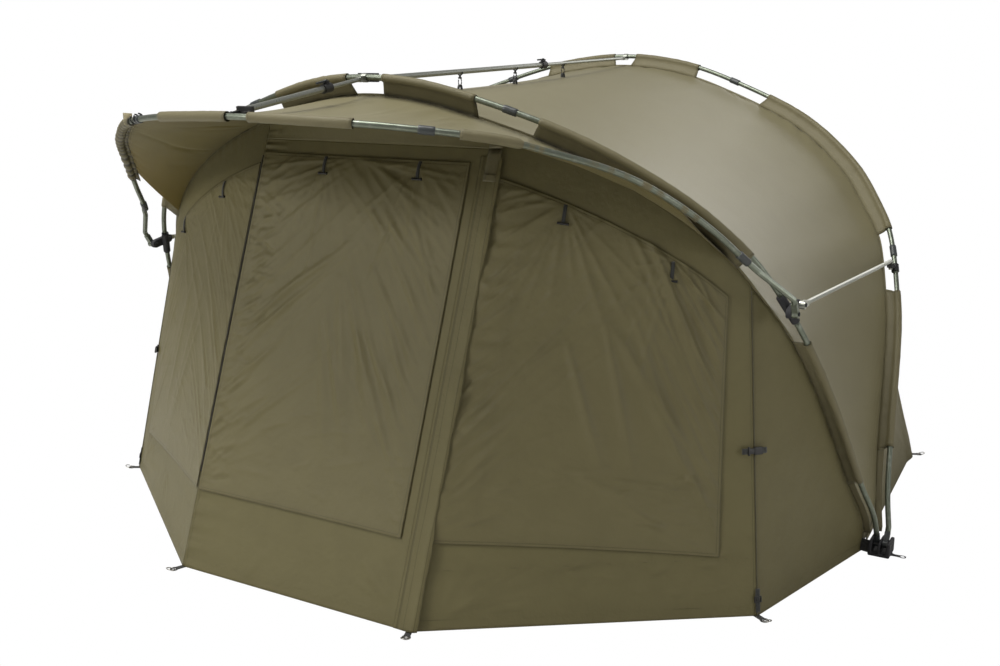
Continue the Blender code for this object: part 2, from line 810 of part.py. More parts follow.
for label, side in SIDES:
    pole("front_pole_shoulder_" + label, front,
         *on_side(side, BRACKET_AT - BRACKET_END, FRONT_FERRULE_AT - FERRULE_INSIDE),
         [side * FRONT_FERRULE_AT])
    pole("front_pole_leg_" + label, front,
         *on_side(side, front.half - FOOT_END, BRACKET_AT + BRACKET_END))
    pole("rear_pole_shoulder_" + label, rear,
         *on_side(side, REAR_FERRULES_AT[1] + FERRULE_INSIDE, REAR_FERRULES_AT[0] - FERRULE_INSIDE),
         [side * s for s in REAR_FERRULES_AT])
    pole("rear_pole_leg_" + label, rear,
         *on_side(side, rear.half - FOOT_END, REAR_FERRULES_AT[1] + FERRULE_END))
    pole("visor_pole_shoulder_" + label, visor,
         *on_side(side, VISOR_FERRULES_AT[1] + FERRULE_INSIDE, VISOR_FERRULES_AT[0] - FERRULE_INSIDE),
         [side * s for s in VISOR_FERRULES_AT])
    pole("visor_pole_leg_" + label, visor,
         *on_side(side, visor.half - STEM_LENGTH + WELD_DEPTH, VISOR_FERRULES_AT[1] + FERRULE_END),
         [], [eye(mirrored(VISOR_FOOT, side), VISOR_UP)])
    place(eye((side * FRONT_X, 0, HUB_HEIGHT), FRONT_UP), "front_rib_foot_" + label, "steel")
    place(eye((side * REAR_X, 0, HUB_HEIGHT), REAR_UP), "rear_rib_foot_" + label, "steel")

# joint brackets on the front rib, the side bars, and their sockets on the rear rib

EAR_OUTER = VISOR_FOOT[0] - EYE_WIDTH / 2 - SLOT_PLAY
EAR_INNER = EAR_OUTER - EAR_THICKNESS
PIN_END = VISOR_FOOT[0] + EYE_WIDTH / 2 + SLOT_PLAY
ear_run = np.linalg.norm(BAR_FOOT - VISOR_FOOT)
ear_along = (BAR_FOOT - VISOR_FOOT) / ear_run
ear_edge = circle(EAR_RADIUS, EAR_STEPS, math.pi / 2, math.pi)
ear_edge += circle(EAR_RADIUS, EAR_STEPS, -math.pi / 2, math.pi, (ear_run, 0))
for label, side in SIDES:
    bracket = cylinder(front.at(side * (BRACKET_AT + BRACKET_HALF)),
                       front.at(side * (BRACKET_AT - BRACKET_HALF)), BRACKET_RADIUS)
    ear_centre = (side * (EAR_INNER + EAR_OUTER) / 2, *VISOR_FOOT[1:])
    ear = as_mesh(plate([ear_edge], EAR_THICKNESS, edgewise(ear_centre, ear_along)))
    rivets = [pin(*across_x(side, EAR_INNER + GAP, PIN_END, pivot[1], pivot[2]),
                  PIN_RADIUS, PIN_HEAD_RADIUS, PIN_HEAD) for pivot in (VISOR_FOOT, BAR_FOOT)]
    place(joined(bracket, ear, *rivets), "joint_bracket_" + label, "moulded")

    at_pole = rear.at(side * SOCKET_AT)
    out = outward_of(rear, REAR_BACK, side * SOCKET_AT)
    ring = at_pole - SOCKET_FORWARD * REAR_BACK - SOCKET_INWARD * out
    band_ends = [rear.at(side * (SOCKET_AT + k * BAND_HALF)) for k in (1, -1)]
    band_run = unit(band_ends[1] - band_ends[0])
    half_height = UP * SOCKET_HEIGHT / 2
    socket = joined(cylinder(*band_ends, SOCKET_RADIUS),
                    cylinder(ring - half_height, ring + half_height, SOCKET_RADIUS))
    pole_bore = (POLE_RADIUS + GAP) / math.cos(math.pi / ROUND_SIDES)
    cut_by(socket, cylinder(band_ends[0] - OVERRUN * band_run, band_ends[1] + OVERRUN * band_run,
                            pole_bore),
           cylinder(ring - 2 * half_height, ring + 2 * half_height, SIDE_BAR_RADIUS + SOCKET_PLAY))
    place(socket, "side_bar_socket_" + label, "moulded")

    bar_z = ring[2] + SOCKET_HEIGHT / 2 + SOCKET_HEADROOM + SIDE_BAR_RADIUS
    bar_pivot = mirrored(BAR_FOOT, side)
    elbow = np.array([ring[0], ring[1] - PEG_BEND, bar_z])
    flat_run = unit((elbow - bar_pivot) * (0, 1, 1))
    begin = bar_pivot + (STEM_LENGTH - WELD_DEPTH) * flat_run
    bend = [elbow + PEG_BEND * np.array([0, math.sin(a), math.cos(a) - 1])
            for a in (0, math.pi / 6, math.pi / 3, math.pi / 2)]
    tip = np.array([ring[0], ring[1], bar_z - PEG_DEPTH])
    side_bar = joined(as_mesh(rod([begin, *bend, tip], SIDE_BAR_RADIUS)),
                      as_mesh(eye(bar_pivot, flat_run)))
    place(side_bar, "side_bar_" + label, "pole")

# spine bars


class SpineBar:
    """A telescopic bar from a ring on one crown to a clip on the crown in front of it."""

    def __init__(self, name, ring_at, clip_at, drops, collar_y, hook_angles):
        rough = unit(clip_at - ring_at)
        down = np.cross(RIGHT, rough)
        self.start = ring_at + drops[0] * down
        end = clip_at + drops[1] * down
        self.run = unit(end - self.start)
        self.length = (clip_at - self.start) @ self.run
        self.collar_at = (collar_y - self.start[1]) / self.run[1]
        ring_bore = (POLE_RADIUS + TURN_PLAY) / math.cos(math.pi / ROUND_SIDES)
        ring = plate([eye_outline(RING_RADIUS, STEM_HALF, RING_STEM, drops[0]), circle(ring_bore)],
                     SPINE_RING_WIDTH, edgewise(ring_at, self.run))
        inner_tube = rod([self.at(RING_STEM - WELD_DEPTH), self.at(self.collar_at + THIN_INSIDE)],
                         THIN_RADIUS)
        place(joined(as_mesh(inner_tube), as_mesh(ring)), name + "_inner_tube", "pole")
        self.bore = (THIN_RADIUS + THIN_PLAY) / math.cos(math.pi / SMALL_SIDES)
        place(hollow(self.at(self.collar_at), self.at(self.length - CROSS_FAR - GAP),
                     POLE_RADIUS, self.bore), name + "_outer_tube", "pole")
        self.clip(name + "_clip", clip_at, drops[1], *hook_angles)
        self.collar(name)

    def at(self, distance):
        """The point this far along the bar from its ring."""
        return self.start + distance * self.run

    def clip(self, name, centre, drop, low, high):
        """Two saddles over the crown of the pole, on a cross piece at the end of the tube."""
        inner = POLE_RADIUS + SADDLE_PLAY
        outer = inner + SADDLE_WALL
        base = inner * math.sin(low)
        top = outer * math.sin(SADDLE_TOP)
        edge = circle(inner, HOOK_STEPS + 1, low, high - low)
        edge += circle(outer, HOOK_STEPS, high, SADDLE_TOP - high)
        middle = (CROSS_NEAR + CROSS_FAR) / 2
        edge += [(middle, top), (middle, base)]
        half = SADDLE_OFFSET + SADDLE_WIDTH / 2
        cross = box((CROSS_NEAR, -drop - POLE_RADIUS, -half),
                    (CROSS_FAR, max(top, POLE_RADIUS - drop) + GAP, half),
                    edgewise(centre, -self.run))
        arms = [as_mesh(plate([edge], SADDLE_WIDTH, edgewise(
            centre + side * (SADDLE_OFFSET - GAP) * RIGHT, -self.run))) for label, side in SIDES]
        place(joined(cross, *arms), name, "moulded")

    def collar(self, name):
        """The cam lock at the end of the outer tube, with its lever."""
        where = edgewise(self.at(self.collar_at - GAP), -self.run)
        body = as_mesh(hollow(self.at(self.collar_at - GAP),
                              self.at(self.collar_at - GAP - COLLAR_LENGTH),
                              COLLAR_RADIUS, self.bore, ROUND_SIDES))
        middle = COLLAR_LENGTH / 2
        pivot_height = COLLAR_RADIUS + LEVER_CLEAR + LEVER_RADIUS
        slot_half = LEVER_WIDTH / 2 + TURN_PLAY
        lug = box((middle - LUG_LENGTH / 2, (self.bore + COLLAR_RADIUS) / 2, -LUG_WIDTH / 2),
                  (middle + LUG_LENGTH / 2, COLLAR_RADIUS + LUG_HEIGHT, LUG_WIDTH / 2), where)
        slot = box((middle - LUG_LENGTH, COLLAR_RADIUS + GAP, -slot_half),
                   (middle + LUG_LENGTH, COLLAR_RADIUS + LUG_HEIGHT + OVERRUN, slot_half), where)
        self.lever_pivot = np.array(where @ Vector((middle, pivot_height, 0)))
        reach = (LUG_WIDTH / 2 - GAP) * RIGHT
        rivet = cylinder(self.lever_pivot - reach, self.lever_pivot + reach, LEVER_PIN, SMALL_SIDES)
        place(joined(cut_by(joined(body, lug), slot), rivet), name + "_collar", "moulded")
        place(plate([eye_outline(LEVER_RADIUS, LEVER_HALF, LEVER_LENGTH),
                     circle(LEVER_PIN + TURN_PLAY, SMALL_SIDES)], LEVER_WIDTH,
                    edgewise(self.lever_pivot, self.run)), name + "_lever", "moulded")


SpineBar("front_spine", front.at(0), visor.at(0), (FRONT_RING_DROP, FRONT_CLIP_DROP),
         FRONT_COLLAR_Y, FRONT_HOOK_ANGLES)
rear_bar = SpineBar("rear_spine", rear.at(0), front.at(0),
                    (REAR_RING_DROP, REAR_CLIP_DROP), REAR_COLLAR_Y, REAR_HOOK_ANGLES)

# the seams, from the crown down to the foot on each side

front_low = front.half - SEAM_FOOT
rear_low = rear.half - SEAM_FOOT
front_places = ladder((0, DOOR_SEAM_AT, DOOR_WIDTH_SHARES),
                      (DOOR_SEAM_AT, SIDE_SEAM_AT, PANEL_WIDTH_SHARES),
                      (SIDE_SEAM_AT, front_low, even(FRONT_LEG_STEPS)))
rear_places = ladder((0, BACK_SEAM_AT, even(BACK_STEPS)),
                     (BACK_SEAM_AT, BACK_CORNER_AT, even(CORNER_STEPS)),
                     (BACK_CORNER_AT, rear_low, even(REAR_LEG_STEPS)))
DOOR_STEPS = len(DOOR_WIDTH_SHARES) - 1
PANEL_STEPS = len(PANEL_WIDTH_SHARES) - 1
SIDE_NODE = DOOR_STEPS + PANEL_STEPS
front_line = [front_seam(s) for s in front_places]
front_line.append(np.array([HUB_SIDE_X, FRONT_FOOT_Y, FOOT_EDGE]))
rear_line = [rear_seam(s) for s in rear_places]
rear_line.append(np.array([HUB_SIDE_X, REAR_FOOT_Y, FOOT_EDGE]))


def over(right_line):
    """The line from the left end over the crown to the right end."""
    return np.array([mirrored(p, -1) for p in right_line[:0:-1]] + list(right_line))


# shell between the front and rear ribs

shell = between(over(front_line), over(rear_line), SHELL_SHARES)
round_rib = abs(np.linspace(-1, 1, shell.shape[1]))
depth = (SPINE_SAG * np.cos(math.pi / 2 * round_rib) ** 2
         + SHOULDER_SAG * np.sin(math.pi * round_rib) ** 2)
shell = sagged(shell, hump(SHELL_SHARES)[:, None] * depth[None, :])
cloth("shell", drawn_in(shell), "shell")

# hooks that hold the shell up to the rear spine bar

spine = shell[:, shell.shape[1] // 2]
for label, y in zip(("front", "middle", "rear"), HOOK_YS):
    on_bar = rear_bar.at((y - rear_bar.start[1]) / rear_bar.run[1])
    held = THIN_RADIUS if y > REAR_COLLAR_Y else POLE_RADIUS
    inner = (held + HOOK_PLAY) / math.cos(math.pi / ROUND_SIDES)
    outer = inner + HOOK_WALL
    cloth_top = np.interp(y, spine[:, 1], spine[:, 2]) + FABRIC + 3 * GAP
    reach = on_bar[2] - cloth_top
    half_turn = math.asin(HOOK_STEM_HALF / outer)
    edge = circle(outer, HOOK_STEPS, -math.pi, math.pi / 2 - half_turn)
    edge += [(-HOOK_STEM_HALF, -reach), (HOOK_STEM_HALF, -reach)]
    edge += circle(outer, HOOK_STEPS, half_turn - math.pi / 2, math.pi / 2 - half_turn)
    edge += circle(inner, 2 * HOOK_STEPS - 1, 0, -math.pi)
    place(plate([edge], HOOK_WIDTH, placement(on_bar, RIGHT, UP, np.cross(RIGHT, UP))),
          "shell_hook_" + label, "moulded")

# door wall: a fixed header above the fold line, and the door below it

door_foot = np.array([DOOR_HALF_WIDTH, DOOR_FRONT_Y, HEM_HEIGHT])
door_seam_top = front_line[DOOR_STEPS]
edge_share = (DOOR_TOP - HEM_HEIGHT) / (door_seam_top[2] - HEM_HEIGHT)
fold_share = (DOOR_TOP + FOLD_GAP - HEM_HEIGHT) / (door_seam_top[2] - HEM_HEIGHT)
door_corner = door_foot + edge_share * (door_seam_top - door_foot)
header_corner = door_foot + fold_share * (door_seam_top - door_foot)
door_x_shares = [-s for s in DOOR_WIDTH_SHARES[:0:-1]] + list(DOOR_WIDTH_SHARES)
door_low = [door_foot * (x, 1, 1) for x in door_x_shares]
door_high = [door_corner * (x, 1, 1) for x in door_x_shares]
door = between(door_low, door_high, DOOR_HEIGHT_SHARES)
door = sagged(door, WALL_SAG * hump(DOOR_HEIGHT_SHARES)[:, None]
              * (1 - np.array(door_x_shares) ** 2)[None, :])
cloth("door_panel", drawn_in(door, first=False, last=False), "wall")
header_low = [header_corner * (x, 1, 1) for x in door_x_shares]
header = between(header_low, over(front_line[:DOOR_STEPS + 1]), even(HEADER_STEPS))
cloth("door_header", drawn_in(header, first=False), "wall")


def strap(grid, across, height, lift, side=1):
    """A webbing strap on the cloth, with its toggle across the lower end."""
    point, normal = on_grid(flip(grid, side), across, height)
    upward = unit(on_grid(flip(grid, side), across, height + STRAP_STEP_SHARE)[0] - point)
    upward = unit(upward - (upward @ normal) * normal)
    sideways = np.cross(upward, normal)
    where = placement(point + (lift - STRAP_SINK) * normal, sideways, upward, normal)
    half = STRAP_WIDTH / 2
    top = STRAP_SINK + STRAP_THICKNESS
    centre = np.array(where @ Vector((0, TOGGLE_RADIUS - STRAP_LENGTH, top + TOGGLE_RADIUS / 2)))
    reach = TOGGLE_LENGTH / 2 * sideways
    return [box((-half, -STRAP_LENGTH, 0), (half, 0, top), where),
            cylinder(centre - reach, centre + reach, TOGGLE_RADIUS, SMALL_SIDES)]


def flip(grid, side):
    """The grid, or its mirror image on the left."""
    return grid * (side, 1, 1)


def raised(grid, rows, columns, lift):
    """A flap over part of a panel, its inner side this far off the panel's inner side."""
    block = grid + facing_out(grid, INSIDE) * lift
    return block[rows, columns]


FLAP_LEVEL = FABRIC + FLAP_LIFT
FLAP_TOP = FLAP_LEVEL + FABRIC
door_flap = raised(door, slice(1, len(DOOR_HEIGHT_SHARES) - 1), slice(1, 2 * DOOR_STEPS), FLAP_LEVEL)
toggles = [solid for shares in DOOR_TOGGLE_SHARES for solid in strap(door, *shares, FLAP_TOP)]
place(joined(as_mesh(sheet(door_flap, FABRIC, away_from_inside)), *toggles),
      "door_window_flap", "wall")

# front panels, side panels and window flaps


def panel(low, high, width_shares, height_shares, sag=WALL_SAG):
    """A wall between two lines of as many points, hollowed a little in the middle."""
    grid = between(low, high, height_shares)
    return sagged(grid, sag * hump(height_shares)[:, None] * hump(width_shares)[None, :])


corner_foot = np.array([CORNER_X, CORNER_Y, HEM_HEIGHT])
hub_side = np.array([HUB_SIDE_X, FRONT_FOOT_Y, HEM_HEIGHT])
front_low_edge = [door_foot + s * (corner_foot - door_foot) for s in PANEL_WIDTH_SHARES]
front_panel = panel(front_low_edge, front_line[DOOR_STEPS:SIDE_NODE + 1],
                    PANEL_WIDTH_SHARES, PANEL_HEIGHT_SHARES)
SIDE_STEPS = len(front_line) - 1 - SIDE_NODE
side_low_edge = broken([corner_foot, hub_side], [SIDE_STEPS])
side_panel = panel(side_low_edge, front_line[SIDE_NODE:], even(SIDE_STEPS), even(WALL_STEPS))
window_flap = raised(front_panel, slice(1, len(PANEL_HEIGHT_SHARES) - 1), slice(1, PANEL_STEPS),
                     FLAP_LEVEL)


for label, side in SIDES:
    cloth("front_panel_" + label, drawn_in(flip(front_panel, side), first=False), "wall")
    side_cloth = sheet(drawn_in(flip(side_panel, side), first=False), FABRIC, away_from_inside)
    place(joined(as_mesh(side_cloth), *strap(side_panel, *SIDE_STRAP_SHARES, FABRIC, side)),
          "side_panel_" + label, "wall")
    flap = sheet(flip(window_flap, side), FABRIC, away_from_inside)
    toggles = [solid for shares in WINDOW_TOGGLE_SHARES
               for solid in strap(front_panel, *shares, FLAP_TOP, side)]
    place(joined(as_mesh(flap), *toggles), "window_flap_" + label, "wall")

# storm flap over the seam on the door's right, hung from the door

level = FABRIC + STORM_LIFT
ridge = door[:, -1]
toward_door = door[:, -2] - ridge
toward_door = toward_door / np.linalg.norm(toward_door, axis=1)[:, None]
panel_edge = front_panel[:, 0]
panel_run = front_panel[:, 1] - panel_edge
panel_run = panel_run / np.linalg.norm(panel_run, axis=1)[:, None]
rise = (ridge[:, 2] - HEM_HEIGHT) / (door_seam_top[2] - HEM_HEIGHT)
toward_panel = np.stack([np.interp(rise, PANEL_HEIGHT_SHARES, panel_run[:, k])
                         for k in range(3)], axis=1)
along_ridge = unit(door_corner - door_foot)
door_normals = np.array([unit(np.cross(along_ridge, run)) for run in toward_door])
door_normals *= np.sign((door_normals * (ridge - INSIDE)).sum(axis=1))[:, None]
panel_normals = np.array([unit(np.cross(along_ridge, run)) for run in toward_panel])
panel_normals *= np.sign((panel_normals * (ridge - INSIDE)).sum(axis=1))[:, None]
shared = (door_normals + panel_normals) / (1 + (door_normals * panel_normals).sum(axis=1))[:, None]
storm = np.stack([ridge + STORM_WIDTH * toward_door + level * door_normals,
                  ridge + level * shared,
                  ridge + STORM_WIDTH * toward_panel + level * panel_normals], axis=1)
cloth("storm_flap", storm[:-1], "wall")

# visor panel from the front seam to the visor rib

VISOR_STEPS = DOOR_STEPS + PANEL_STEPS - 1
visor_rate = VISOR_PANEL_AT / front_places[VISOR_STEPS]


def visor_inward(place_on):
    """The direction from the visor rib toward the front seam, square to the pole."""
    run = front_seam(place_on / visor_rate) - visor.smooth_at(place_on)
    step = FOOT_STRAIGHT / 2
    along = unit(visor.smooth_at(place_on - step) - visor.smooth_at(place_on + step))
    return unit(run - (run @ along) * along)


visor_rear, visor_front = [], []
for s in front_places[:VISOR_STEPS + 1]:
    seam, pole = front_seam(s), visor.at(s * visor_rate)
    run = unit(pole - seam)
    visor_rear.append(seam + VISOR_EDGE * run)
    visor_front.append(pole + VISOR_FIN * visor_inward(s * visor_rate))
visor_cloth = between(over(visor_rear), over(visor_front), even(VISOR_CLOTH_STEPS))
visor_cloth = sagged(visor_cloth, VISOR_SAG * hump(even(VISOR_CLOTH_STEPS))[:, None]
                     * np.ones(visor_cloth.shape[1])[None, :])
cloth("visor_panel", visor_cloth, "shell")

# rear wall and rear side panels

back_low = [np.array([BACK_X * (2 * s - 1), BACK_Y, HEM_HEIGHT]) for s in even(2 * BACK_STEPS)]
back_high = over(rear_line[:BACK_STEPS + 1])
rear_wall = panel(back_low, back_high, even(2 * BACK_STEPS), even(WALL_STEPS))
cloth("rear_wall", drawn_in(rear_wall, first=False), "wall")
rear_steps = CORNER_STEPS + REAR_LEG_STEPS + 1
side_back_low = broken([(BACK_X, BACK_Y, HEM_HEIGHT), (BACK_CORNER_X, BACK_CORNER_Y, HEM_HEIGHT),
                        (HUB_SIDE_X, REAR_FOOT_Y, HEM_HEIGHT)],
                       [CORNER_STEPS, REAR_LEG_STEPS + 1])
rear_side = panel(side_back_low, rear_line[BACK_STEPS:], even(rear_steps), even(WALL_STEPS),
                  WALL_SAG / 2)
for label, side in SIDES:
    cloth("rear_side_panel_" + label, drawn_in(flip(rear_side, side), first=False), "wall")

# sleeves and fins that hold the poles


def sleeve(name, rib, spans, inward, tail):
    """Cloth that wraps the pole at the spans, and runs inward as a fin all along."""
    end = max(high for high, low in spans)
    marks = [s for span in spans for s in span]
    marks += [s for s in rib.corner_places() if 0 < s < end]
    marks = sorted({round(s, 6) for s in marks})
    stations = [-s for s in marks[::-1]] + marks
    stations = stations[::-1]
    corners = np.array([rib.at(s) for s in stations])
    runs = [unit(b - a) for a, b in zip(corners, corners[1:])]
    tangents = [runs[0]] + [unit(a + b) for a, b in zip(runs, runs[1:])] + [runs[-1]]
    half = SLEEVE_WRAP / WRAP_STEPS / 2
    wrap = circle((POLE_RADIUS + SLEEVE_PLAY) / math.cos(half), WRAP_STEPS + 1, 0, SLEEVE_WRAP)
    grid = []
    for corner, tangent, place_on in zip(corners, tangents, stations):
        along_fin = inward(place_on)
        along_fin = unit(along_fin - (along_fin @ tangent) * tangent)
        sideways = np.cross(tangent, along_fin)
        depth = tail(place_on)
        profile = [(depth, 0), (depth * NOTCH_SHARE, 0)] + wrap
        grid.append([corner + a * along_fin + b * sideways for a, b in profile])
    bare = []
    for row, (high, low) in enumerate(zip(stations, stations[1:])):
        middle = abs(high + low) / 2
        if not any(b < middle < a for a, b in spans):
            bare += [(row, column) for column in range(1, WRAP_STEPS + 2)]
    place(sheet(np.array(grid), SLEEVE_WALL,
                lambda point: from_pole(corners, point), set(bare)), name, "shell")


def from_pole(corners, point):
    """Away from the pole for the wrapped part of a sleeve, and nothing for its fin."""
    steps = zip(corners, corners[1:])
    best = min(steps, key=lambda ends: np.linalg.norm(point - (ends[0] + ends[1]) / 2))
    run = unit(best[1] - best[0])
    off = point - best[0]
    off = off - (off @ run) * run
    return off if np.linalg.norm(off) < 2 * POLE_RADIUS else off * 0


def front_inward(place_on):
    """Into the arch, in the front rib's plane."""
    return -outward_of(front, FRONT_BACK, place_on)


def rear_inward(place_on):
    """Into the arch, in the rear rib's plane."""
    return -outward_of(rear, REAR_BACK, place_on)


sleeve("front_sleeve", front, FRONT_SLEEVES, front_inward,
       lambda s: fin_depth(s, FRONT_FIN, LEG_FIN) - FIN_GAP)
sleeve("rear_sleeve", rear, REAR_SLEEVES, rear_inward,
       lambda s: fin_depth(s, REAR_FIN, LEG_FIN) - FIN_GAP)
sleeve("visor_sleeve", visor, VISOR_SLEEVES, visor_inward, lambda s: VISOR_FIN - VISOR_FIN_GAP)
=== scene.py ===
"""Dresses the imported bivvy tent: cloth with its folds and seams, webbing, poles and finishes.

Metres, +Z up, -Y is the front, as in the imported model.
"""

import math

import bmesh
import bpy
import numpy as np
from mathutils import Matrix, Vector


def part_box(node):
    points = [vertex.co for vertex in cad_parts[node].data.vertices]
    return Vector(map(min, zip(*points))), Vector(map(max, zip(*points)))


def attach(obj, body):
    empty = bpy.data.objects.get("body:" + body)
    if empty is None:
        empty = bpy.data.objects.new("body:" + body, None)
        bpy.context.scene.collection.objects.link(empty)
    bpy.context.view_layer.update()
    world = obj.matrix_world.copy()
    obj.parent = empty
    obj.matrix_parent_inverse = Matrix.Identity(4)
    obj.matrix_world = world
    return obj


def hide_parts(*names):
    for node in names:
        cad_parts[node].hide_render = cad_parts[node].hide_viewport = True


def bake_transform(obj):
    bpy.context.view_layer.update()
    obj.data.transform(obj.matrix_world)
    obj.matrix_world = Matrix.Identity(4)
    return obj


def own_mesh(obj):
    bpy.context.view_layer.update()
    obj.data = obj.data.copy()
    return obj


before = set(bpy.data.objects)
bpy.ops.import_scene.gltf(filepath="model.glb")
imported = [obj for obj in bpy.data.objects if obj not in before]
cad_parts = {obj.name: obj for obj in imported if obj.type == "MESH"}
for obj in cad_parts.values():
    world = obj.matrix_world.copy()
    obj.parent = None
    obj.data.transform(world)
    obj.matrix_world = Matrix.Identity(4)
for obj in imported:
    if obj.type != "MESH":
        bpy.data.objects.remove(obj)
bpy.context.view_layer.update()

# camera of the photograph
CAMERA_AT = (2.237, -3.911, 1.651)
CAMERA_TURN = math.radians(29.57)
CAMERA_DOWN = math.radians(13.078)
CAMERA_ROLL = math.radians(0.351)
CAMERA_LENS_MM = 41.2045

FLOOR_COLOUR = (0.80, 0.79, 0.76)
# painted shade: the colour that pleat valleys and the front sleeve's fin are darkened toward
PAINTED_SHADE_COLOUR = (0.024, 0.022, 0.014)
# painted light: the yellow of light shining through the visor's cloth at its left end
PAINTED_LIGHT_COLOUR = (0.150, 0.112, 0.026)
SKY_STRENGTH = 0.26

# frame sizes, as in the part's source
HUB_HALF_SPAN = 1.557
HUB_HEIGHT = 0.035
FRONT_RISE = 1.799
FRONT_TILT = math.radians(-28.4)
REAR_RISE = 2.071
REAR_TILT = math.radians(36.3)
VISOR_HALF_WIDTH = 1.345
VISOR_PIVOT_Y = -0.530
VISOR_PIVOT_Z = 0.930
VISOR_REACH = 0.925
VISOR_RISE = 0.582
VISOR_LEAN = math.radians(-33.0)
FOOT_STRAIGHT = 0.060
PIVOT_SPACING = 0.0285
STEM_LENGTH = 0.044

# how far round each rib a thing lies, in metres of pole from the crown
DOOR_SEAM_AT = 0.500
SIDE_SEAM_AT = 1.480
BACK_SEAM_AT = 0.750
BACK_CORNER_AT = 1.500
BRACKET_AT = 1.600
BRACKET_HALF = 0.052
FRONT_FERRULE_AT = 0.520
REAR_FERRULES_AT = (0.585, 1.762)
VISOR_FERRULES_AT = (0.560, 1.600)
FRONT_SLEEVES = ((0.400, 0.070), (1.385, 0.620), (2.345, 1.740))
REAR_SLEEVES = ((0.386, 0.055), (1.660, 0.776), (2.570, 1.940))
VISOR_SLEEVES = ((0.360, 0.040), (1.390, 0.650))
VISOR_PANEL_AT = 1.345

# ground line, right half
DOOR_HALF_WIDTH = 0.459
DOOR_FRONT_Y = -1.319
CORNER_X = 1.330
CORNER_Y = -0.689
HUB_SIDE_X = 1.494
FRONT_FOOT_Y = -0.020
REAR_FOOT_Y = 0.052
BACK_CORNER_X = 1.449
BACK_CORNER_Y = 1.152
BACK_X = 0.650
BACK_Y = 1.750
SEAM_FOOT = 0.130
FOOT_EDGE = 0.030
HEM_HEIGHT = 0.0036
DOOR_TOP = 1.400
FOLD_GAP = 0.0032

# cloth
FRONT_FIN = 0.068
LEG_FIN = 0.045
REAR_FIN = 0.056
VISOR_FIN = 0.026
VISOR_EDGE = 0.0045
SPINE_SAG = 0.022
SHOULDER_SAG = 0.050
VISOR_SAG = 0.013
WALL_SAG = 0.018
CLOTH = 0.0012
PANEL_LIFT = 0.0012
FLAP_LIFT = 0.0062
STORM_LIFT = 0.0070
STORM_WIDTH = 0.055
STITCH_IN = 0.010
STITCH_HALF = 0.0009
WEAVE_SCALE = 420.0
SKIRT_STITCH = 0.180
HEM_STITCH = 0.032
FLAP_SEAM_SHARE = 0.147
PLEAT_PITCH = 0.046
PLEAT_DEPTH = 0.0022
RIM_INSET = 0.010
RIM_HEIGHT = 0.012
UNDER_FLAP = 0.1
VISOR_BEND = 0.17

# rows and columns of the coarse grids where the drawn cloths end
DOOR_TOP_ROW = 7.04
STORM_TOP_ROW = 6.55
DOOR_FLAP_ROWS = (1, 6.2)
DOOR_FLAP_COLUMNS = (0.05, 7)
WINDOW_FLAP_ROWS = (1, 6)
WINDOW_FLAP_COLUMNS = (0.05, 6)

# how far each window flap's folds are raised
LEFT_FLAP_FOLDS = 0.55
RIGHT_FLAP_FOLDS = 1.5
DOOR_FLAP_FOLDS = 1.1

# poles and fittings
POLE_RADIUS = 0.0095
SLEEVE_RADIUS = 0.0122
FERRULE_RADIUS = 0.0128
FERRULE_LENGTH = 0.046
HOOK_THICK = 0.0044
NECK_LENGTH = 0.010
NECK_RADIUS = 0.0042
HOOK_BEND = 0.0065
HOOK_WIRE = 0.0019
SWIVEL_SIZE = (0.011, 0.011, 0.006)
WEBBING = 0.0016
THIN_WEBBING = 0.0014
HUB_STRAP_WIDTH = 0.046
STORM_TAB_WIDTH = 0.046
STORM_TAB_THICK = 0.0024
ZIP_WIDTH = 0.0052
PIPING_WIDTH = 0.0030
STRAP_LENGTH = 0.062
STRAP_ACROSS = (-0.0055, -0.00275, 0.00275, 0.0055)
TOGGLE_LENGTH = 0.036
VISOR_CLIPS_AT = (-0.605, -0.560)
CLIP_RADIUS = 0.0145
CLIP_WIRE = 0.0026
VISOR_TAB_WIDTH = 0.034
VISOR_TAB_THICK = 0.0025
VISOR_STEP_AT = 0.815
VISOR_GATHERED_FROM = -0.5
BUCKLE_HEIGHT = 0.500
BUCKLE_PARTS = (((0.030, 0.024, 0.0085), 0.010), ((0.022, 0.017, 0.0060), -0.014),
                ((0.006, 0.027, 0.0070), -0.024))
TAB_RADIUS = 0.014
TAB_HALF = 0.010
TAB_HOLE = 0.0065
TAB_REACH = 0.042
TAB_THICK = 0.0022
TAB_HEIGHT = 0.0026
RING_RADIUS = 0.013
RING_WIRE = 0.0016

# shares of the arches and of the coarse grids
FRONT_SHARES = ((0.985, 0.085), (0.959, 0.173), (0.916, 0.360), (0.861, 0.525), (0.790, 0.657),
                (0.692, 0.757), (0.575, 0.834), (0.445, 0.897), (0.299, 0.947), (0.143, 0.987))
REAR_SHARES = ((0.990, 0.100), (0.9685, 0.229), (0.944, 0.386), (0.920, 0.476), (0.882, 0.579),
               (0.837, 0.648), (0.741, 0.749), (0.578, 0.853), (0.3455, 0.940), (0.178, 0.983))
VISOR_SHARES = ((0.962, 0.085, 0.170), (0.914, 0.143, 0.284),
                (0.862, 0.254, 0.451), (0.805, 0.360, 0.593), (0.746, 0.463, 0.708),
                (0.682, 0.561, 0.791), (0.612, 0.646, 0.850), (0.541, 0.723, 0.904),
                (0.466, 0.795, 0.935), (0.321, 0.905, 0.972), (0.180, 0.970, 0.990))
DOOR_WIDTH_SHARES = (0, 0.27, 0.54, 0.81, 1)
PANEL_WIDTH_SHARES = (0, 0.10, 0.26, 0.42, 0.58, 0.74, 0.88, 1)
DOOR_HEIGHT_SHARES = (0, 0.176, 0.34, 0.50, 0.66, 0.81, 0.955, 1)
PANEL_HEIGHT_SHARES = (0, 0.17, 0.34, 0.50, 0.66, 0.79, 0.90, 1)
SHELL_SHARES = (0, 0.12, 0.30, 0.50, 0.70, 0.88, 1)
DOOR_TOGGLE_SHARES = ((0.31, 0.875), (0.69, 0.875))
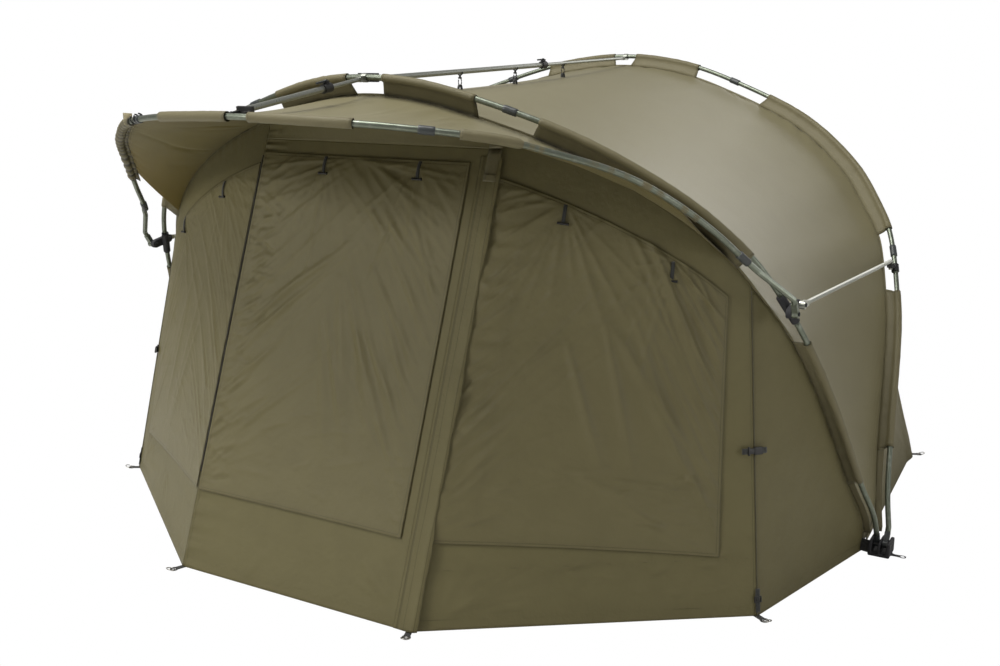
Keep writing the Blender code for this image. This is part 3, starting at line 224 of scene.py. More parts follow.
WINDOW_TOGGLE_SHARES = ((0.28, 0.85), (0.63, 0.84))
DOOR_ZIP_HEIGHTS = (0.30, 1.36)

RIGHT = np.array([1.0, 0.0, 0.0])
UP = np.array([0.0, 0.0, 1.0])
SIDES = (("right", 1), ("left", -1))


# lines and surfaces


def unit(vectors):
    """The vectors at length one."""
    vectors = np.asarray(vectors, float)
    return vectors / np.maximum(np.linalg.norm(vectors, axis=-1, keepdims=True), 1e-12)


def spline(values, at):
    """The values between a list's entries, on a smooth curve through them."""
    values = np.asarray(values, float)
    held = np.concatenate([[2 * values[0] - values[1]], values, [2 * values[-1] - values[-2]]])
    k = np.clip(np.floor(at).astype(int), 0, len(values) - 2)
    t = (at - k).reshape((-1,) + (1,) * (values.ndim - 1))
    p0, p1, p2, p3 = (held[k + step] for step in range(4))
    return 0.5 * (2 * p1 + (p2 - p0) * t + (2 * p0 - 5 * p1 + 4 * p2 - p3) * t ** 2
                  + (3 * p1 - p0 - 3 * p2 + p3) * t ** 3)


def fine(grid, rows, columns):
    """The grid's smooth surface, at these rows and columns of it."""
    tall = spline(grid, rows)
    return spline(tall.swapaxes(0, 1), columns).swapaxes(0, 1)


class Rib:
    """A pole's smooth line. Places are metres of pole from the crown, positive on the right."""

    def __init__(self, right_half, crown):
        left_half = [p * (-1, 1, 1) for p in reversed(right_half)]
        corners = right_half[1:] + [crown] + left_half[:-1]
        curve = spline(corners, np.linspace(0, len(corners) - 1, 12 * len(corners)))
        self.line = np.vstack([right_half[0], curve, left_half[-1]])
        along = np.concatenate([[0], np.cumsum(np.linalg.norm(np.diff(self.line, axis=0), axis=1))])
        self.places = along[-1] / 2 - along
        self.half = self.places[0]

    def at(self, places):
        """The points at these places."""
        wanted = -np.asarray(places)
        return np.stack([np.interp(wanted, -self.places, axis) for axis in self.line.T], axis=-1)

    def run(self, places):
        """The directions of the pole there, toward the left."""
        places = np.asarray(places)
        step = FOOT_STRAIGHT / 2
        return unit(self.at(places - step) - self.at(places + step))


def leaning(tilt):
    """The upward direction in a plane that leans by tilt."""
    return np.array([0.0, math.sin(tilt), math.cos(tilt)])


HUB_AXIS = np.array([0.0, 0.0, HUB_HEIGHT])
FRONT_X = HUB_HALF_SPAN - PIVOT_SPACING / 2
REAR_X = HUB_HALF_SPAN + PIVOT_SPACING / 2
FRONT_BACK = np.cross(leaning(FRONT_TILT), RIGHT)
REAR_BACK = np.cross(leaning(REAR_TILT), RIGHT)


def arch(foot_x, rise, tilt, shares):
    """A flat arch that leans by tilt."""
    flat = [(foot_x, 0.0), (foot_x, FOOT_STRAIGHT)]
    flat += [(HUB_HALF_SPAN * x, rise * r) for x, r in shares]
    points = [np.array([x, 0, 0]) + HUB_AXIS + r * leaning(tilt) for x, r in flat]
    return Rib(points, HUB_AXIS + rise * leaning(tilt))


front = arch(FRONT_X, FRONT_RISE, FRONT_TILT, FRONT_SHARES)
rear = arch(REAR_X, REAR_RISE, REAR_TILT, REAR_SHARES)
VISOR_FOOT = np.array([VISOR_HALF_WIDTH, VISOR_PIVOT_Y, VISOR_PIVOT_Z])
visor_half = [VISOR_FOOT, VISOR_FOOT + FOOT_STRAIGHT * leaning(VISOR_LEAN)]
visor_half += [VISOR_FOOT * (x, 1, 1) + (0, -VISOR_REACH * y, VISOR_RISE * z)
               for x, y, z in VISOR_SHARES]
visor = Rib(visor_half, VISOR_FOOT * (0, 1, 1) + (0, -VISOR_REACH, VISOR_RISE))
INSIDE = HUB_AXIS / 2 + (front.at(0) + rear.at(0)) / 4


def facing_out(grid):
    """The grid's unit normals, away from the middle of the tent."""
    normals = unit(np.cross(np.gradient(grid, axis=0), np.gradient(grid, axis=1)))
    return normals * math.copysign(1, (normals * (grid - INSIDE)).sum())


def outward(rib, back, places):
    """The directions square to the pole, out of the arch, in its plane."""
    return unit(np.cross(back, rib.run(places)))


def fin_depth(places, top):
    """How far the cloth's seam lies inside the pole."""
    t = np.clip((np.abs(places) - SIDE_SEAM_AT) / (FRONT_SLEEVES[2][1] - SIDE_SEAM_AT), 0, 1)
    return top + (LEG_FIN - top) * t * t * (3 - 2 * t)


def seam(rib, back, top, places):
    """Where the cloth meets a rib's fin."""
    places = np.asarray(places, float)
    return rib.at(places) - fin_depth(places, top)[..., None] * outward(rib, back, places)


def ladder(*runs):
    """Places along a rib: each run is (start, end, shares between them)."""
    places = [runs[0][0]]
    for start, end, shares in runs:
        places += [start + (end - start) * share for share in shares[1:]]
    return np.array(places)


def even(count):
    """Even shares from nothing to one."""
    return np.linspace(0, 1, count + 1)


def over(right_line):
    """The line from the left end over the crown to the right end."""
    right_line = np.asarray(right_line)
    return np.concatenate([right_line[:0:-1] * (-1, 1, 1), right_line])


def between(low, high, shares):
    """A grid of straight lines from the low edge's points to the high edge's."""
    low, high, shares = np.asarray(low), np.asarray(high), np.asarray(shares)
    return low[None] + (high - low)[None] * shares[:, None, None]


def hump(shares):
    """Nothing at both ends and one in the middle."""
    shares = np.asarray(shares)
    return 4 * shares * (1 - shares)


def sagged(grid, depth):
    """The grid with each point moved inward by its depth."""
    return grid - facing_out(grid) * depth[..., None]


front_places = ladder((0, DOOR_SEAM_AT, DOOR_WIDTH_SHARES),
                      (DOOR_SEAM_AT, SIDE_SEAM_AT, PANEL_WIDTH_SHARES),
                      (SIDE_SEAM_AT, front.half - SEAM_FOOT, even(6)))
rear_places = ladder((0, BACK_SEAM_AT, even(5)), (BACK_SEAM_AT, BACK_CORNER_AT, even(5)),
                     (BACK_CORNER_AT, rear.half - SEAM_FOOT, even(7)))
front_line = np.vstack([seam(front, FRONT_BACK, FRONT_FIN, front_places),
                        (HUB_SIDE_X, FRONT_FOOT_Y, FOOT_EDGE)])
rear_line = np.vstack([seam(rear, REAR_BACK, REAR_FIN, rear_places),
                       (HUB_SIDE_X, REAR_FOOT_Y, FOOT_EDGE)])
DOOR_STEPS = len(DOOR_WIDTH_SHARES) - 1
SIDE_NODE = DOOR_STEPS + len(PANEL_WIDTH_SHARES) - 1
BACK_STEPS = 5

# the coarse surfaces of the cloth, as in the part's source

shell_grid = between(over(front_line), over(rear_line), SHELL_SHARES)
round_rib = abs(np.linspace(-1, 1, shell_grid.shape[1]))
shell_sag = (SPINE_SAG * np.cos(math.pi / 2 * round_rib) ** 2
             + SHOULDER_SAG * np.sin(math.pi * round_rib) ** 2)
shell_grid = sagged(shell_grid, hump(SHELL_SHARES)[:, None] * shell_sag[None, :])

door_foot = np.array([DOOR_HALF_WIDTH, DOOR_FRONT_Y, HEM_HEIGHT])
door_seam_top = front_line[DOOR_STEPS]


def on_door_seam(height):
    """The point of the door's side seam at this height."""
    share = (height - HEM_HEIGHT) / (door_seam_top[2] - HEM_HEIGHT)
    return door_foot + share * (door_seam_top - door_foot)


door_corner = on_door_seam(DOOR_TOP)
door_x = np.array([-s for s in DOOR_WIDTH_SHARES[:0:-1]] + list(DOOR_WIDTH_SHARES))[:, None]
door_spread = np.hstack([door_x, np.ones_like(door_x), np.ones_like(door_x)])
door_grid = between(door_foot * door_spread, door_corner * door_spread, DOOR_HEIGHT_SHARES)
door_sag = WALL_SAG * hump(DOOR_HEIGHT_SHARES)[:, None] * (1 - door_x[:, 0] ** 2)[None]
door_grid = sagged(door_grid, door_sag)
header_foot = on_door_seam(DOOR_TOP + FOLD_GAP) * door_spread
header_grid = between(header_foot, over(front_line[:DOOR_STEPS + 1]), even(2))


def wall(low, high, width_shares, height_shares, sag=WALL_SAG):
    """A wall between two lines of as many points, hollowed a little in the middle."""
    grid = between(low, high, height_shares)
    return sagged(grid, sag * hump(height_shares)[:, None] * hump(width_shares)[None, :])


def straight(start, end, shares):
    """Points along a straight line."""
    start, end = np.array(start, float), np.array(end, float)
    return start + np.asarray(shares)[:, None] * (end - start)


corner_foot = (CORNER_X, CORNER_Y, HEM_HEIGHT)
hub_side = (HUB_SIDE_X, FRONT_FOOT_Y, HEM_HEIGHT)
back_foot = (BACK_X, BACK_Y, HEM_HEIGHT)
back_corner = (BACK_CORNER_X, BACK_CORNER_Y, HEM_HEIGHT)
SIDE_STEPS = len(front_line) - 1 - SIDE_NODE
panel_grid = wall(straight(door_foot, corner_foot, PANEL_WIDTH_SHARES),
                  front_line[DOOR_STEPS:SIDE_NODE + 1], PANEL_WIDTH_SHARES, PANEL_HEIGHT_SHARES)
side_grid = wall(straight(corner_foot, hub_side, even(SIDE_STEPS)), front_line[SIDE_NODE:],
                 even(SIDE_STEPS), even(5))
back_grid = wall(straight(np.array(back_foot) * (-1, 1, 1), back_foot, even(2 * BACK_STEPS)),
                 over(rear_line[:BACK_STEPS + 1]), even(2 * BACK_STEPS), even(5))
back_low = np.vstack([straight(back_foot, back_corner, even(5)),
                      straight(back_corner, (HUB_SIDE_X, REAR_FOOT_Y, HEM_HEIGHT), even(8))[1:]])
back_side_grid = wall(back_low, rear_line[BACK_STEPS:], even(13), even(5), WALL_SAG / 2)

VISOR_STEPS = SIDE_NODE - 1
visor_rate = VISOR_PANEL_AT / front_places[VISOR_STEPS]


def visor_inward(places):
    """The directions from the visor rib toward the front seam, square to the pole."""
    places = np.asarray(places, float)
    toward = seam(front, FRONT_BACK, FRONT_FIN, places / visor_rate) - visor.at(places)
    along = visor.run(places)
    return unit(toward - (toward * along).sum(axis=-1, keepdims=True) * along)


visor_seam = seam(front, FRONT_BACK, FRONT_FIN, front_places[:VISOR_STEPS + 1])
visor_rim_places = front_places[:VISOR_STEPS + 1] * visor_rate
visor_rim = visor.at(visor_rim_places)
visor_rear = visor_seam + VISOR_EDGE * unit(visor_rim - visor_seam)
visor_front = visor_rim + VISOR_FIN * visor_inward(visor_rim_places)
visor_grid = between(over(visor_rear), over(visor_front), even(4))
less_at_ends = 1 - 0.6 * abs(np.linspace(-1, 1, visor_grid.shape[1])) ** 3
visor_grid = sagged(visor_grid, VISOR_SAG * hump(even(4))[:, None] * less_at_ends[None])

# finishes


class Finish:
    """A node material that is built step by step."""

    def __init__(self, name, colour, rough, metal=0.0):
        self.material = bpy.data.materials.new(name)
        self.material.use_nodes = True
        self.nodes = self.material.node_tree.nodes
        self.shader = self.nodes["Principled BSDF"]
        self.colour = (*colour, 1)
        self.put({"Base Color": self.colour, "Roughness": rough, "Metallic": metal})
        self.height = None

    def link(self, value, socket):
        """Links a socket to this one, or sets this one's plain value."""
        if isinstance(value, bpy.types.NodeSocket):
            self.material.node_tree.links.new(value, socket)
        else:
            socket.default_value = value

    def put(self, values):
        """Sets or links inputs of the shader."""
        for name, value in values.items():
            self.link(value, self.shader.inputs[name])

    def add(self, kind, **inputs):
        """A node of this kind with some inputs set or linked."""
        node = self.nodes.new(kind)
        for name, value in inputs.items():
            self.link(value, node.inputs[name])
        return node

    def place(self):
        """Object coordinates in metres."""
        return self.add("ShaderNodeTexCoord").outputs["Object"]

    def noise(self, scale, detail=4.0, rough=0.55, stretch=(1, 1, 1)):
        """Noise from nothing to one; scale is in turns a metre."""
        mapping = self.add("ShaderNodeMapping", Vector=self.place(), Scale=stretch)
        node = self.add("ShaderNodeTexNoise", Vector=mapping.outputs["Vector"], Scale=scale,
                        Detail=detail, Roughness=rough)
        return node.outputs["Fac"]

    def maths(self, operation, a, b=0.0, clamp=False):
        """One sum on two values."""
        node = self.nodes.new("ShaderNodeMath")
        node.operation = operation
        node.use_clamp = clamp
        self.link(a, node.inputs[0])
        self.link(b, node.inputs[1])
        return node.outputs["Value"]

    def share(self, value, times, less=0.0):
        """The value less an amount, times another, kept from nothing to one."""
        if less:
            value = self.maths("SUBTRACT", value, less)
        return self.maths("MULTIPLY", value, times, True)

    def vary(self, *layers):
        """Colour that moves toward each layer's colour by its amount."""
        colour = self.colour
        for amount, other in layers:
            mix = self.nodes.new("ShaderNodeMix")
            mix.data_type = "RGBA"
            self.link(amount, mix.inputs["Factor"])
            self.link(colour, mix.inputs["A"])
            self.link((*other, 1), mix.inputs["B"])
            colour = mix.outputs["Result"]
        self.put({"Base Color": colour})

    def relief(self, depth, value):
        """Adds a height field this deep, in metres."""
        scaled = self.maths("MULTIPLY", value, depth)
        self.height = scaled if self.height is None else self.maths("ADD", self.height, scaled)
        bump = self.nodes.get("Bump") or self.nodes.new("ShaderNodeBump")
        bump.inputs["Distance"].default_value = 1.0
        self.link(self.height, bump.inputs["Height"])
        self.link(bump.outputs["Normal"], self.shader.inputs["Normal"])

    def attribute(self, name):
        """A value that the mesh carries."""
        node = self.nodes.new("ShaderNodeAttribute")
        node.attribute_name = name
        return node.outputs["Fac"]


def toned(colour, times, plus=0.0):
    """The colour made lighter or darker."""
    return tuple(min(1, c * times + plus) for c in colour)


def cloth_finish(name, colour, dark, light, rough, sheen, crumple, gloss=0.4):
    """Coated polyester: fine weave, stitched seams that darken and pucker, and faint blotches; it also
    mixes in painted shade and painted light that the mesh carries.
    """
    made = Finish(name, colour, rough)
    stitch = made.attribute("seam")
    blotch = made.noise(2.2, 3.0)
    streak = made.noise(9.0, 5.0, 0.6)
    off = made.maths("ABSOLUTE", made.maths("SUBTRACT", stitch, STITCH_IN))
    line = made.maths("LESS_THAN", off, STITCH_HALF)
    edge = made.maths("LESS_THAN", stitch, 2 * STITCH_HALF)
    near = made.maths("POWER", 2.718, made.maths("MULTIPLY", stitch, -45.0))
    made.vary((made.share(blotch, 0.55), light),
              (made.share(streak, 0.9, 0.42), dark),
              (made.share(near, 0.30), dark),
              (made.share(line, 0.45), toned(dark, 0.5)),
              (made.share(edge, 0.45), toned(dark, 0.5)),
              # painted shade from the mesh's pleat and fin values, and painted light shining through
              # the visor's left end
              (made.share(made.attribute("painted_shade"), 0.9), PAINTED_SHADE_COLOUR),
              (made.share(made.attribute("painted_light"), 1.0), PAINTED_LIGHT_COLOUR))
    made.put({"Sheen Weight": sheen, "Sheen Roughness": 0.4, "Specular IOR Level": gloss})
    warp = made.add("ShaderNodeTexWave", Vector=made.place(), Scale=WEAVE_SCALE)
    weft = made.add("ShaderNodeTexWave", Vector=made.place(), Scale=WEAVE_SCALE)
    weft.bands_direction = "Z"
    made.relief(0.00006, made.maths("ADD", warp.outputs["Fac"], weft.outputs["Fac"]))
    made.relief(0.0016 * crumple, made.noise(26.0, 5.0, 0.6))
    made.relief(0.0024, made.maths("MULTIPLY", near, made.noise(70.0, 3.0)))
    made.relief(-0.0008, line)
    return made.material


def webbing_finish(name, colour):
    """Woven tape: ribs across it and a dull sheen."""
    made = Finish(name, colour, 0.82)
    ribs = made.add("ShaderNodeTexWave", Vector=made.place(), Scale=260.0)
    ribs.bands_direction = "Z"
    made.vary((made.share(ribs.outputs["Fac"], 0.35), toned(colour, 2.2, 0.01)))
    made.relief(0.0003, ribs.outputs["Fac"])
    made.relief(0.0004, made.noise(160.0))
    made.put({"Sheen Weight": 0.25})
    return made.material


def moulded_finish(name, colour, rough=0.48):
    """Moulded nylon: fine texture, with handling marks that shine."""
    made = Finish(name, colour, rough)
    grain = made.noise(900.0, 2.0)
    wear = made.noise(45.0, 4.0)
    made.vary((made.share(wear, 0.8, 0.5), toned(colour, 2.0, 0.015)))
    made.put({"Roughness": made.maths("ADD", made.maths("MULTIPLY", wear, 0.3), rough - 0.15)})
    made.relief(0.00008, grain)
    return made.material


def metal_finish(name, colour, worn, rough, metal):
    """Drawn tube: fine lines along it, with a thin coat that wears light."""
    made = Finish(name, colour, rough, metal)
    drawn = made.noise(320.0, 3.0, 0.5, (1, 1, 0.15))
    scuff = made.noise(38.0, 5.0, 0.7)
    made.vary((made.share(scuff, 1.6, 0.52), worn))
    made.put({"Roughness": made.maths("ADD", made.maths("MULTIPLY", drawn, 0.22), rough - 0.1)})
    made.relief(0.00004, drawn)
    return made.material


shell_cloth = cloth_finish(
    "shell_cloth", (0.176, 0.157, 0.084), (0.143, 0.126, 0.066), (0.202, 0.182, 0.100),
    0.42, 0.08, 0.12, 0.52)
visor_lining = cloth_finish(
    "visor_lining", (0.115, 0.100, 0.044), (0.090, 0.077, 0.034), (0.200, 0.160, 0.044),
    0.62, 0.05, 0.3, 0.25)
wall_cloth = cloth_finish(
    "wall_cloth", (0.131, 0.116, 0.055), (0.100, 0.088, 0.041), (0.154, 0.137, 0.068),
    0.50, 0.02, 1.3, 0.20)
flap_cloth = cloth_finish(
    "flap_cloth", (0.132, 0.116, 0.055), (0.100, 0.087, 0.040), (0.156, 0.138, 0.069),
    0.45, 0.02, 1.7, 0.28)
sleeve_cloth = cloth_finish(
    "sleeve_cloth", (0.135, 0.119, 0.062), (0.102, 0.090, 0.045), (0.160, 0.142, 0.078),
    0.56, 0.08, 0.7)
floor_cloth = cloth_finish(
    "groundsheet_cloth", (0.045, 0.050, 0.038), (0.03, 0.033, 0.025), (0.06, 0.065, 0.05),
    0.7, 0.1, 0.8)
inner_cloth = cloth_finish(
    "inner_cloth", (0.075, 0.066, 0.036), (0.06, 0.052, 0.03), (0.09, 0.08, 0.045),
    0.7, 0.05, 0.5)
tan_webbing = webbing_finish("tan_webbing", (0.21, 0.18, 0.10))
black_webbing = webbing_finish("black_webbing", (0.018, 0.019, 0.018))
zip_coil = webbing_finish("zip_coil", (0.012, 0.011, 0.007))
piping = webbing_finish("piping", (0.060, 0.053, 0.028))
black_nylon = moulded_finish("black_nylon", (0.012, 0.012, 0.013))
grey_nylon = moulded_finish("grey_nylon", (0.035, 0.040, 0.042), 0.4)
pole_coat = metal_finish("pole_coat", (0.155, 0.175, 0.140), (0.42, 0.44, 0.40), 0.36, 0.75)
bar_metal = metal_finish("bar_metal", (0.40, 0.41, 0.37), (0.62, 0.62, 0.58), 0.30, 0.85)
spine_metal = metal_finish("spine_metal", (0.32, 0.335, 0.305), (0.55, 0.56, 0.53), 0.30, 0.75)
steel = metal_finish("bare_steel", (0.46, 0.45, 0.42), (0.64, 0.63, 0.60), 0.28, 1.0)


# pieces


def link(made, finish, body, nodes=()):
    """Puts a piece in the scene with its finish, its body and the nodes that it stands for."""
    bpy.context.scene.collection.objects.link(made)
    made.data.materials.append(finish)
    if body:
        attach(made, body)
    if nodes:
        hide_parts(*nodes)
    return made


def piece(name, mesh, finish, body, nodes=()):
    """A mesh as a piece of the scene."""
    return link(bpy.data.objects.new(name, mesh), finish, body, nodes)


def thickened(made, thickness, offset=0.0):
    """Gives a sheet its thickness; offset -1 lays it all behind the sheet."""
    modifier = made.modifiers.new("thickness", "SOLIDIFY")
    modifier.thickness = thickness
    modifier.offset = offset
    return modifier


def point_field(mesh, name, values):
    """A value for each point of the mesh, which its finish reads."""
    attribute = mesh.attributes.new(name, "FLOAT", "POINT")
    attribute.data.foreach_set("value", np.asarray(values, np.float32).reshape(-1))


def mesh_of(name, points, closed=False):
    """A mesh over a grid of points; closed joins the last column to the first."""
    rows, columns = points.shape[:2]
    index = np.arange(rows * columns).reshape(rows, columns)
    right = np.roll(index, -1, axis=1) if closed else index[:, 1:]
    left = index if closed else index[:, :-1]
    faces = np.stack([left[:-1], right[:-1], right[1:], left[1:]], axis=-1).reshape(-1, 4)
    mesh = bpy.data.meshes.new(name)
    mesh.from_pydata(points.reshape(-1, 3).tolist(), [], faces.tolist())
    mesh.polygons.foreach_set("use_smooth", np.ones(len(mesh.polygons), bool))
    return mesh


def creases(across, up, folds):
    """The height of folds, each (start x, start y, end x, end y, width, height)."""
    total = np.zeros_like(across)
    for x0, y0, x1, y1, width, height in folds:
        dx, dy = x1 - x0, y1 - y0
        length = math.hypot(dx, dy)
        t = ((across - x0) * dx + (up - y0) * dy) / length ** 2
        off = ((across - x0) * dy - (up - y0) * dx) / length
        wide = width * (0.6 + 0.8 * np.clip(t, 0, 1))
        total += height * np.exp(-np.abs(off / wide) ** 1.6) * np.sin(math.pi * np.clip(t, 0, 1)) ** 0.7
    return total


def fan(random, at, angle, spread, count, reach, width, height):
    """Folds that run out from a point, in degrees from straight across."""
    found = []
    for k in range(count):
        turn = angle + spread * ((k + 0.5) / count - 0.5) + random.normal() * spread / count / 4
        out = np.array([math.cos(math.radians(turn)), math.sin(math.radians(turn))])
        start = np.array(at) + out * reach * random.uniform(0.02, 0.12)
        end = np.array(at) + out * reach * random.uniform(0.55, 1.05)
        wide = width * random.uniform(0.6, 1.5)
        found.append((*start, *end, wide, height * random.uniform(0.35, 1.0)))
    return found


class Cloth:
    """A fine sheet over a coarse grid, or over some rows and columns of it, with folds and seams."""

    def __init__(self, grid, step, rows=None, columns=None, lift=PANEL_LIFT, side=1):
        grid = grid * (side, 1, 1)
        rows = rows or (0, len(grid) - 1)
        columns = columns or (0, grid.shape[1] - 1)
        spans = np.linalg.norm(np.diff(grid, axis=0), axis=2).sum(axis=0).max()
        widths = np.linalg.norm(np.diff(grid, axis=1), axis=2).sum(axis=1).max()
        tall = max(8, int(spans / step * (rows[1] - rows[0]) / (len(grid) - 1)))
        wide = max(8, int(widths / step * (columns[1] - columns[0]) / (grid.shape[1] - 1)))
        self.base = fine(grid, np.linspace(*rows, tall), np.linspace(*columns, wide))
        self.normals = facing_out(self.base)
        self.lift = lift
        self.height = np.zeros(self.base.shape[:2])
        self.across = self.measure(1)
        self.up = self.measure(0)
        self.right = self.across[:, -1:] - self.across
        self.down = self.up[-1:, :] - self.up
        self.seam = np.full(self.height.shape, 1.0)
        # painted light shining through the cloth, one value for each point, or None
        self.painted_light = None

    def measure(self, axis):
        """Metres along the rows or up the columns."""
        steps = np.linalg.norm(np.diff(self.base, axis=axis), axis=2)
        start = np.zeros((len(steps), 1)) if axis == 1 else np.zeros((1, steps.shape[1]))
        return np.concatenate([start, np.cumsum(steps, axis=axis)], axis=axis)

    @property
    def centred(self):
        """Metres to the right of the middle of each row."""
        return self.across - self.across[:, -1:] / 2

    @property
    def size(self):
        """The widest row and the tallest column."""
        return self.across[:, -1].max(), self.up[-1].max()

    def stitch(self, *distances):
        """Adds seams, each given by every point's distance from it."""
        for distance in distances:
            self.seam = np.minimum(self.seam, np.abs(distance))

    def stitch_edges(self):
        """Adds seams along all four edges."""
        self.stitch(self.across, self.right, self.up, self.down)

    def topstitch(self, *distances):
        """Adds single lines of stitches."""
        for distance in distances:
            self.seam = np.minimum(self.seam, STITCH_IN + np.abs(distance))

    def fold(self, folds):
        """Adds folds, each as creases() takes it."""
        self.height += creases(self.centred, self.up, folds)

    def pucker(self, random, edge, along, wave, reach, height):
        """Small folds square to an edge."""
        drift = np.interp(along, np.linspace(0, 4, 60), random.normal(size=60) * 1.6)
        size = np.interp(along, np.linspace(0, 4, 80), random.uniform(0.1, 1.0, size=80))
        ripple = np.sin(along * 2 * math.pi / wave + drift)
        self.height += height * size * ripple * np.exp(-(edge / reach))

    def hold(self, *edges, reach=0.03):
        """Takes the folds out toward edges that are sewn down."""
        for edge in edges:
            self.height *= 1 - np.exp(-(edge / reach) ** 2)

    def points(self):
        """The points of the sheet as it lies now."""
        return self.base + self.normals * (self.lift + self.height)[..., None]

    def build(self, node, finish, body, inner=None, name=None):
        """The sheet as a piece of cloth that stands for the node."""
        name = name or node + "_cloth"
        mesh = mesh_of(name, self.points())
        rows, columns = self.height.shape
        middle_face = mesh.polygons[len(mesh.polygons) // 2]
        if np.dot(middle_face.normal, self.normals[rows // 2, columns // 2]) < 0:
            mesh.flip_normals()
        point_field(mesh, "seam", self.seam)
        # the painted light, if the cloth has it
        if self.painted_light is not None:
            point_field(mesh, "painted_light", self.painted_light)
        made = piece(name, mesh, finish, body, [node])
        mesh.materials.append(inner or inner_cloth)
        thickened(made, CLOTH, -1).material_offset = 1
        width, length = self.size
        return made


def tube(name, points, radius, finish, body, nodes=(), sides=12, caps=True):
    """A round bar along points."""
    points = np.asarray(points, float)
    runs = unit(np.gradient(points, axis=0))
    side = unit(np.cross(runs, UP + 0.01 * RIGHT))
    other = np.cross(runs, side)
    turns = np.linspace(0, 2 * math.pi, sides, endpoint=False)
    radius = np.broadcast_to(radius, len(points))[:, None, None]
    rings = points[:, None] + radius * (np.cos(turns)[None, :, None] * side[:, None]
                                        + np.sin(turns)[None, :, None] * other[:, None])
    mesh = mesh_of(name, rings, closed=True)
    if caps:
        shape = bmesh.new()
        shape.from_mesh(mesh)
        bmesh.ops.holes_fill(shape, edges=[e for e in shape.edges if e.is_boundary])
        bmesh.ops.recalc_face_normals(shape, faces=shape.faces)
        shape.to_mesh(mesh)
        shape.free()
    return piece(name, mesh, finish, body, nodes)


def pole(node, rib, high, low, body, ferrules=()):
    """A pole as a smooth tube, with its dark ferrules."""
    line = rib.at(np.linspace(high, low, max(6, int(abs(high - low) / 0.02))))
    tube(node + "_tube", line, POLE_RADIUS, pole_coat, body, [node])
    for k, place in enumerate(ferrules):
        line = rib.at(place + np.linspace(FERRULE_LENGTH, -FERRULE_LENGTH, 7) / 2)
        ferrule = tube(f"{node}_ferrule_{k + 1}", line, FERRULE_RADIUS, grey_nylon, body)
        bevel = ferrule.modifiers.new("rounded", "BEVEL")
        bevel.width = 0.0012
        bevel.limit_method = "ANGLE"


def placement(origin, x_axis, y_axis, z_axis):
    """The placement whose own axes point along the three directions."""
    rows = [[x_axis[k], y_axis[k], z_axis[k], origin[k]] for k in range(3)]
    return Matrix(rows + [[0, 0, 0, 1]])


def on_side(side, high, low):
    """The two places, in order from right to left, on this side."""
    return (high, low) if side > 0 else (-low, -high)


for name, rib, body, ferrules, shoulder_end, leg_start in (
        ("front", front, "front_rib", (FRONT_FERRULE_AT,), BRACKET_AT - BRACKET_HALF,
         BRACKET_AT + BRACKET_HALF),
        ("rear", rear, "rear_rib", REAR_FERRULES_AT, REAR_FERRULES_AT[1], REAR_FERRULES_AT[1]),
        ("visor", visor, "visor", VISOR_FERRULES_AT, VISOR_FERRULES_AT[1], None)):
    pole(name + "_pole_crown", rib, ferrules[0], -ferrules[0], body)
    for label, side in SIDES:
        pole(f"{name}_pole_shoulder_{label}", rib, *on_side(side, shoulder_end, ferrules[0]), body,
             [side * place for place in ferrules])
        if leg_start:
            ends = on_side(side, rib.half - STEM_LENGTH, leg_start)
            pole(f"{name}_pole_leg_{label}", rib, *ends, body)

# shell, walls and flaps

random = np.random.default_rng(7)
shell = Cloth(shell_grid, 0.014)
shell.pucker(random, shell.up, shell.across, 0.085, 0.05, 0.0022)
shell.pucker(random, shell.down, shell.across, 0.11, 0.06, 0.0028)
shell.stitch(shell.up, shell.down)


def with_shell(made):
    """Bakes the piece's placement into its mesh."""
    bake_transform(made)


def gathers(made):
    """Gives the piece its own copy of its mesh."""
    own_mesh(made)


def front_cloth(made):
    """Gives the piece its own copy of its mesh, as gathers() does."""
    gathers(made)


with_shell(shell.build("shell", shell_cloth, None, name="shell_sheet"))


def crinkles(cloth, random, count, widths, heights, depth):
    """Short sharp creases scattered over one part of a cloth."""
    for _ in range(count):
        x = random.uniform(*widths)
        y = random.uniform(*heights)
        reach = random.uniform(0.06, 0.20)
        cloth.fold([(x, y, x + reach, y + reach * random.uniform(-0.6, 0.5),
                     random.uniform(0.006, 0.011), random.uniform(0.4, 1.0) * depth)])


def straps(cloth, places, prefix, body):
    """Webbing loops sewn on the cloth, each with its toggle across the lower end."""
    for k, (x, y) in enumerate(places):
        name = f"{prefix}_{k + 1}"
        index = np.unravel_index(np.argmin(np.hypot(cloth.centred - x, cloth.up - y)), cloth.up.shape)
        point, normal = cloth.points()[index], cloth.normals[index]
        upward = unit(cloth.base[min(index[0] + 3, len(cloth.base) - 1), index[1]] - cloth.base[index])
        sideways = np.cross(upward, normal)
        band = np.array([[point + across * sideways + (0.0012 + 0.006 * hump(t)) * normal
                          - t * STRAP_LENGTH * upward for across in STRAP_ACROSS]
                         for t in np.linspace(0, 1, 12)])
        made = piece(name + "_strap", mesh_of(name + "_strap", band), black_webbing, body)
        thickened(made, WEBBING, -1)
        centre = point - 0.95 * STRAP_LENGTH * upward + 0.006 * normal
        shares = np.linspace(-1, 1, 13)
        rod = centre + shares[:, None] * TOGGLE_LENGTH / 2 * sideways
        rod += 0.002 * (shares ** 2)[:, None] * normal
        thickness = 0.0044 - 0.0012 * hump((shares + 1) / 2)
        front_cloth(tube(name + "_toggle", rod, thickness, black_nylon, body))
        front_cloth(made)


def edge_x(cloth, side, height):
    """How far the cloth's side edge lies from its middle, at this height."""
    widths = cloth.across[:, -1]
    return side * 0.5 * np.interp(height, cloth.up.mean(axis=1), widths)


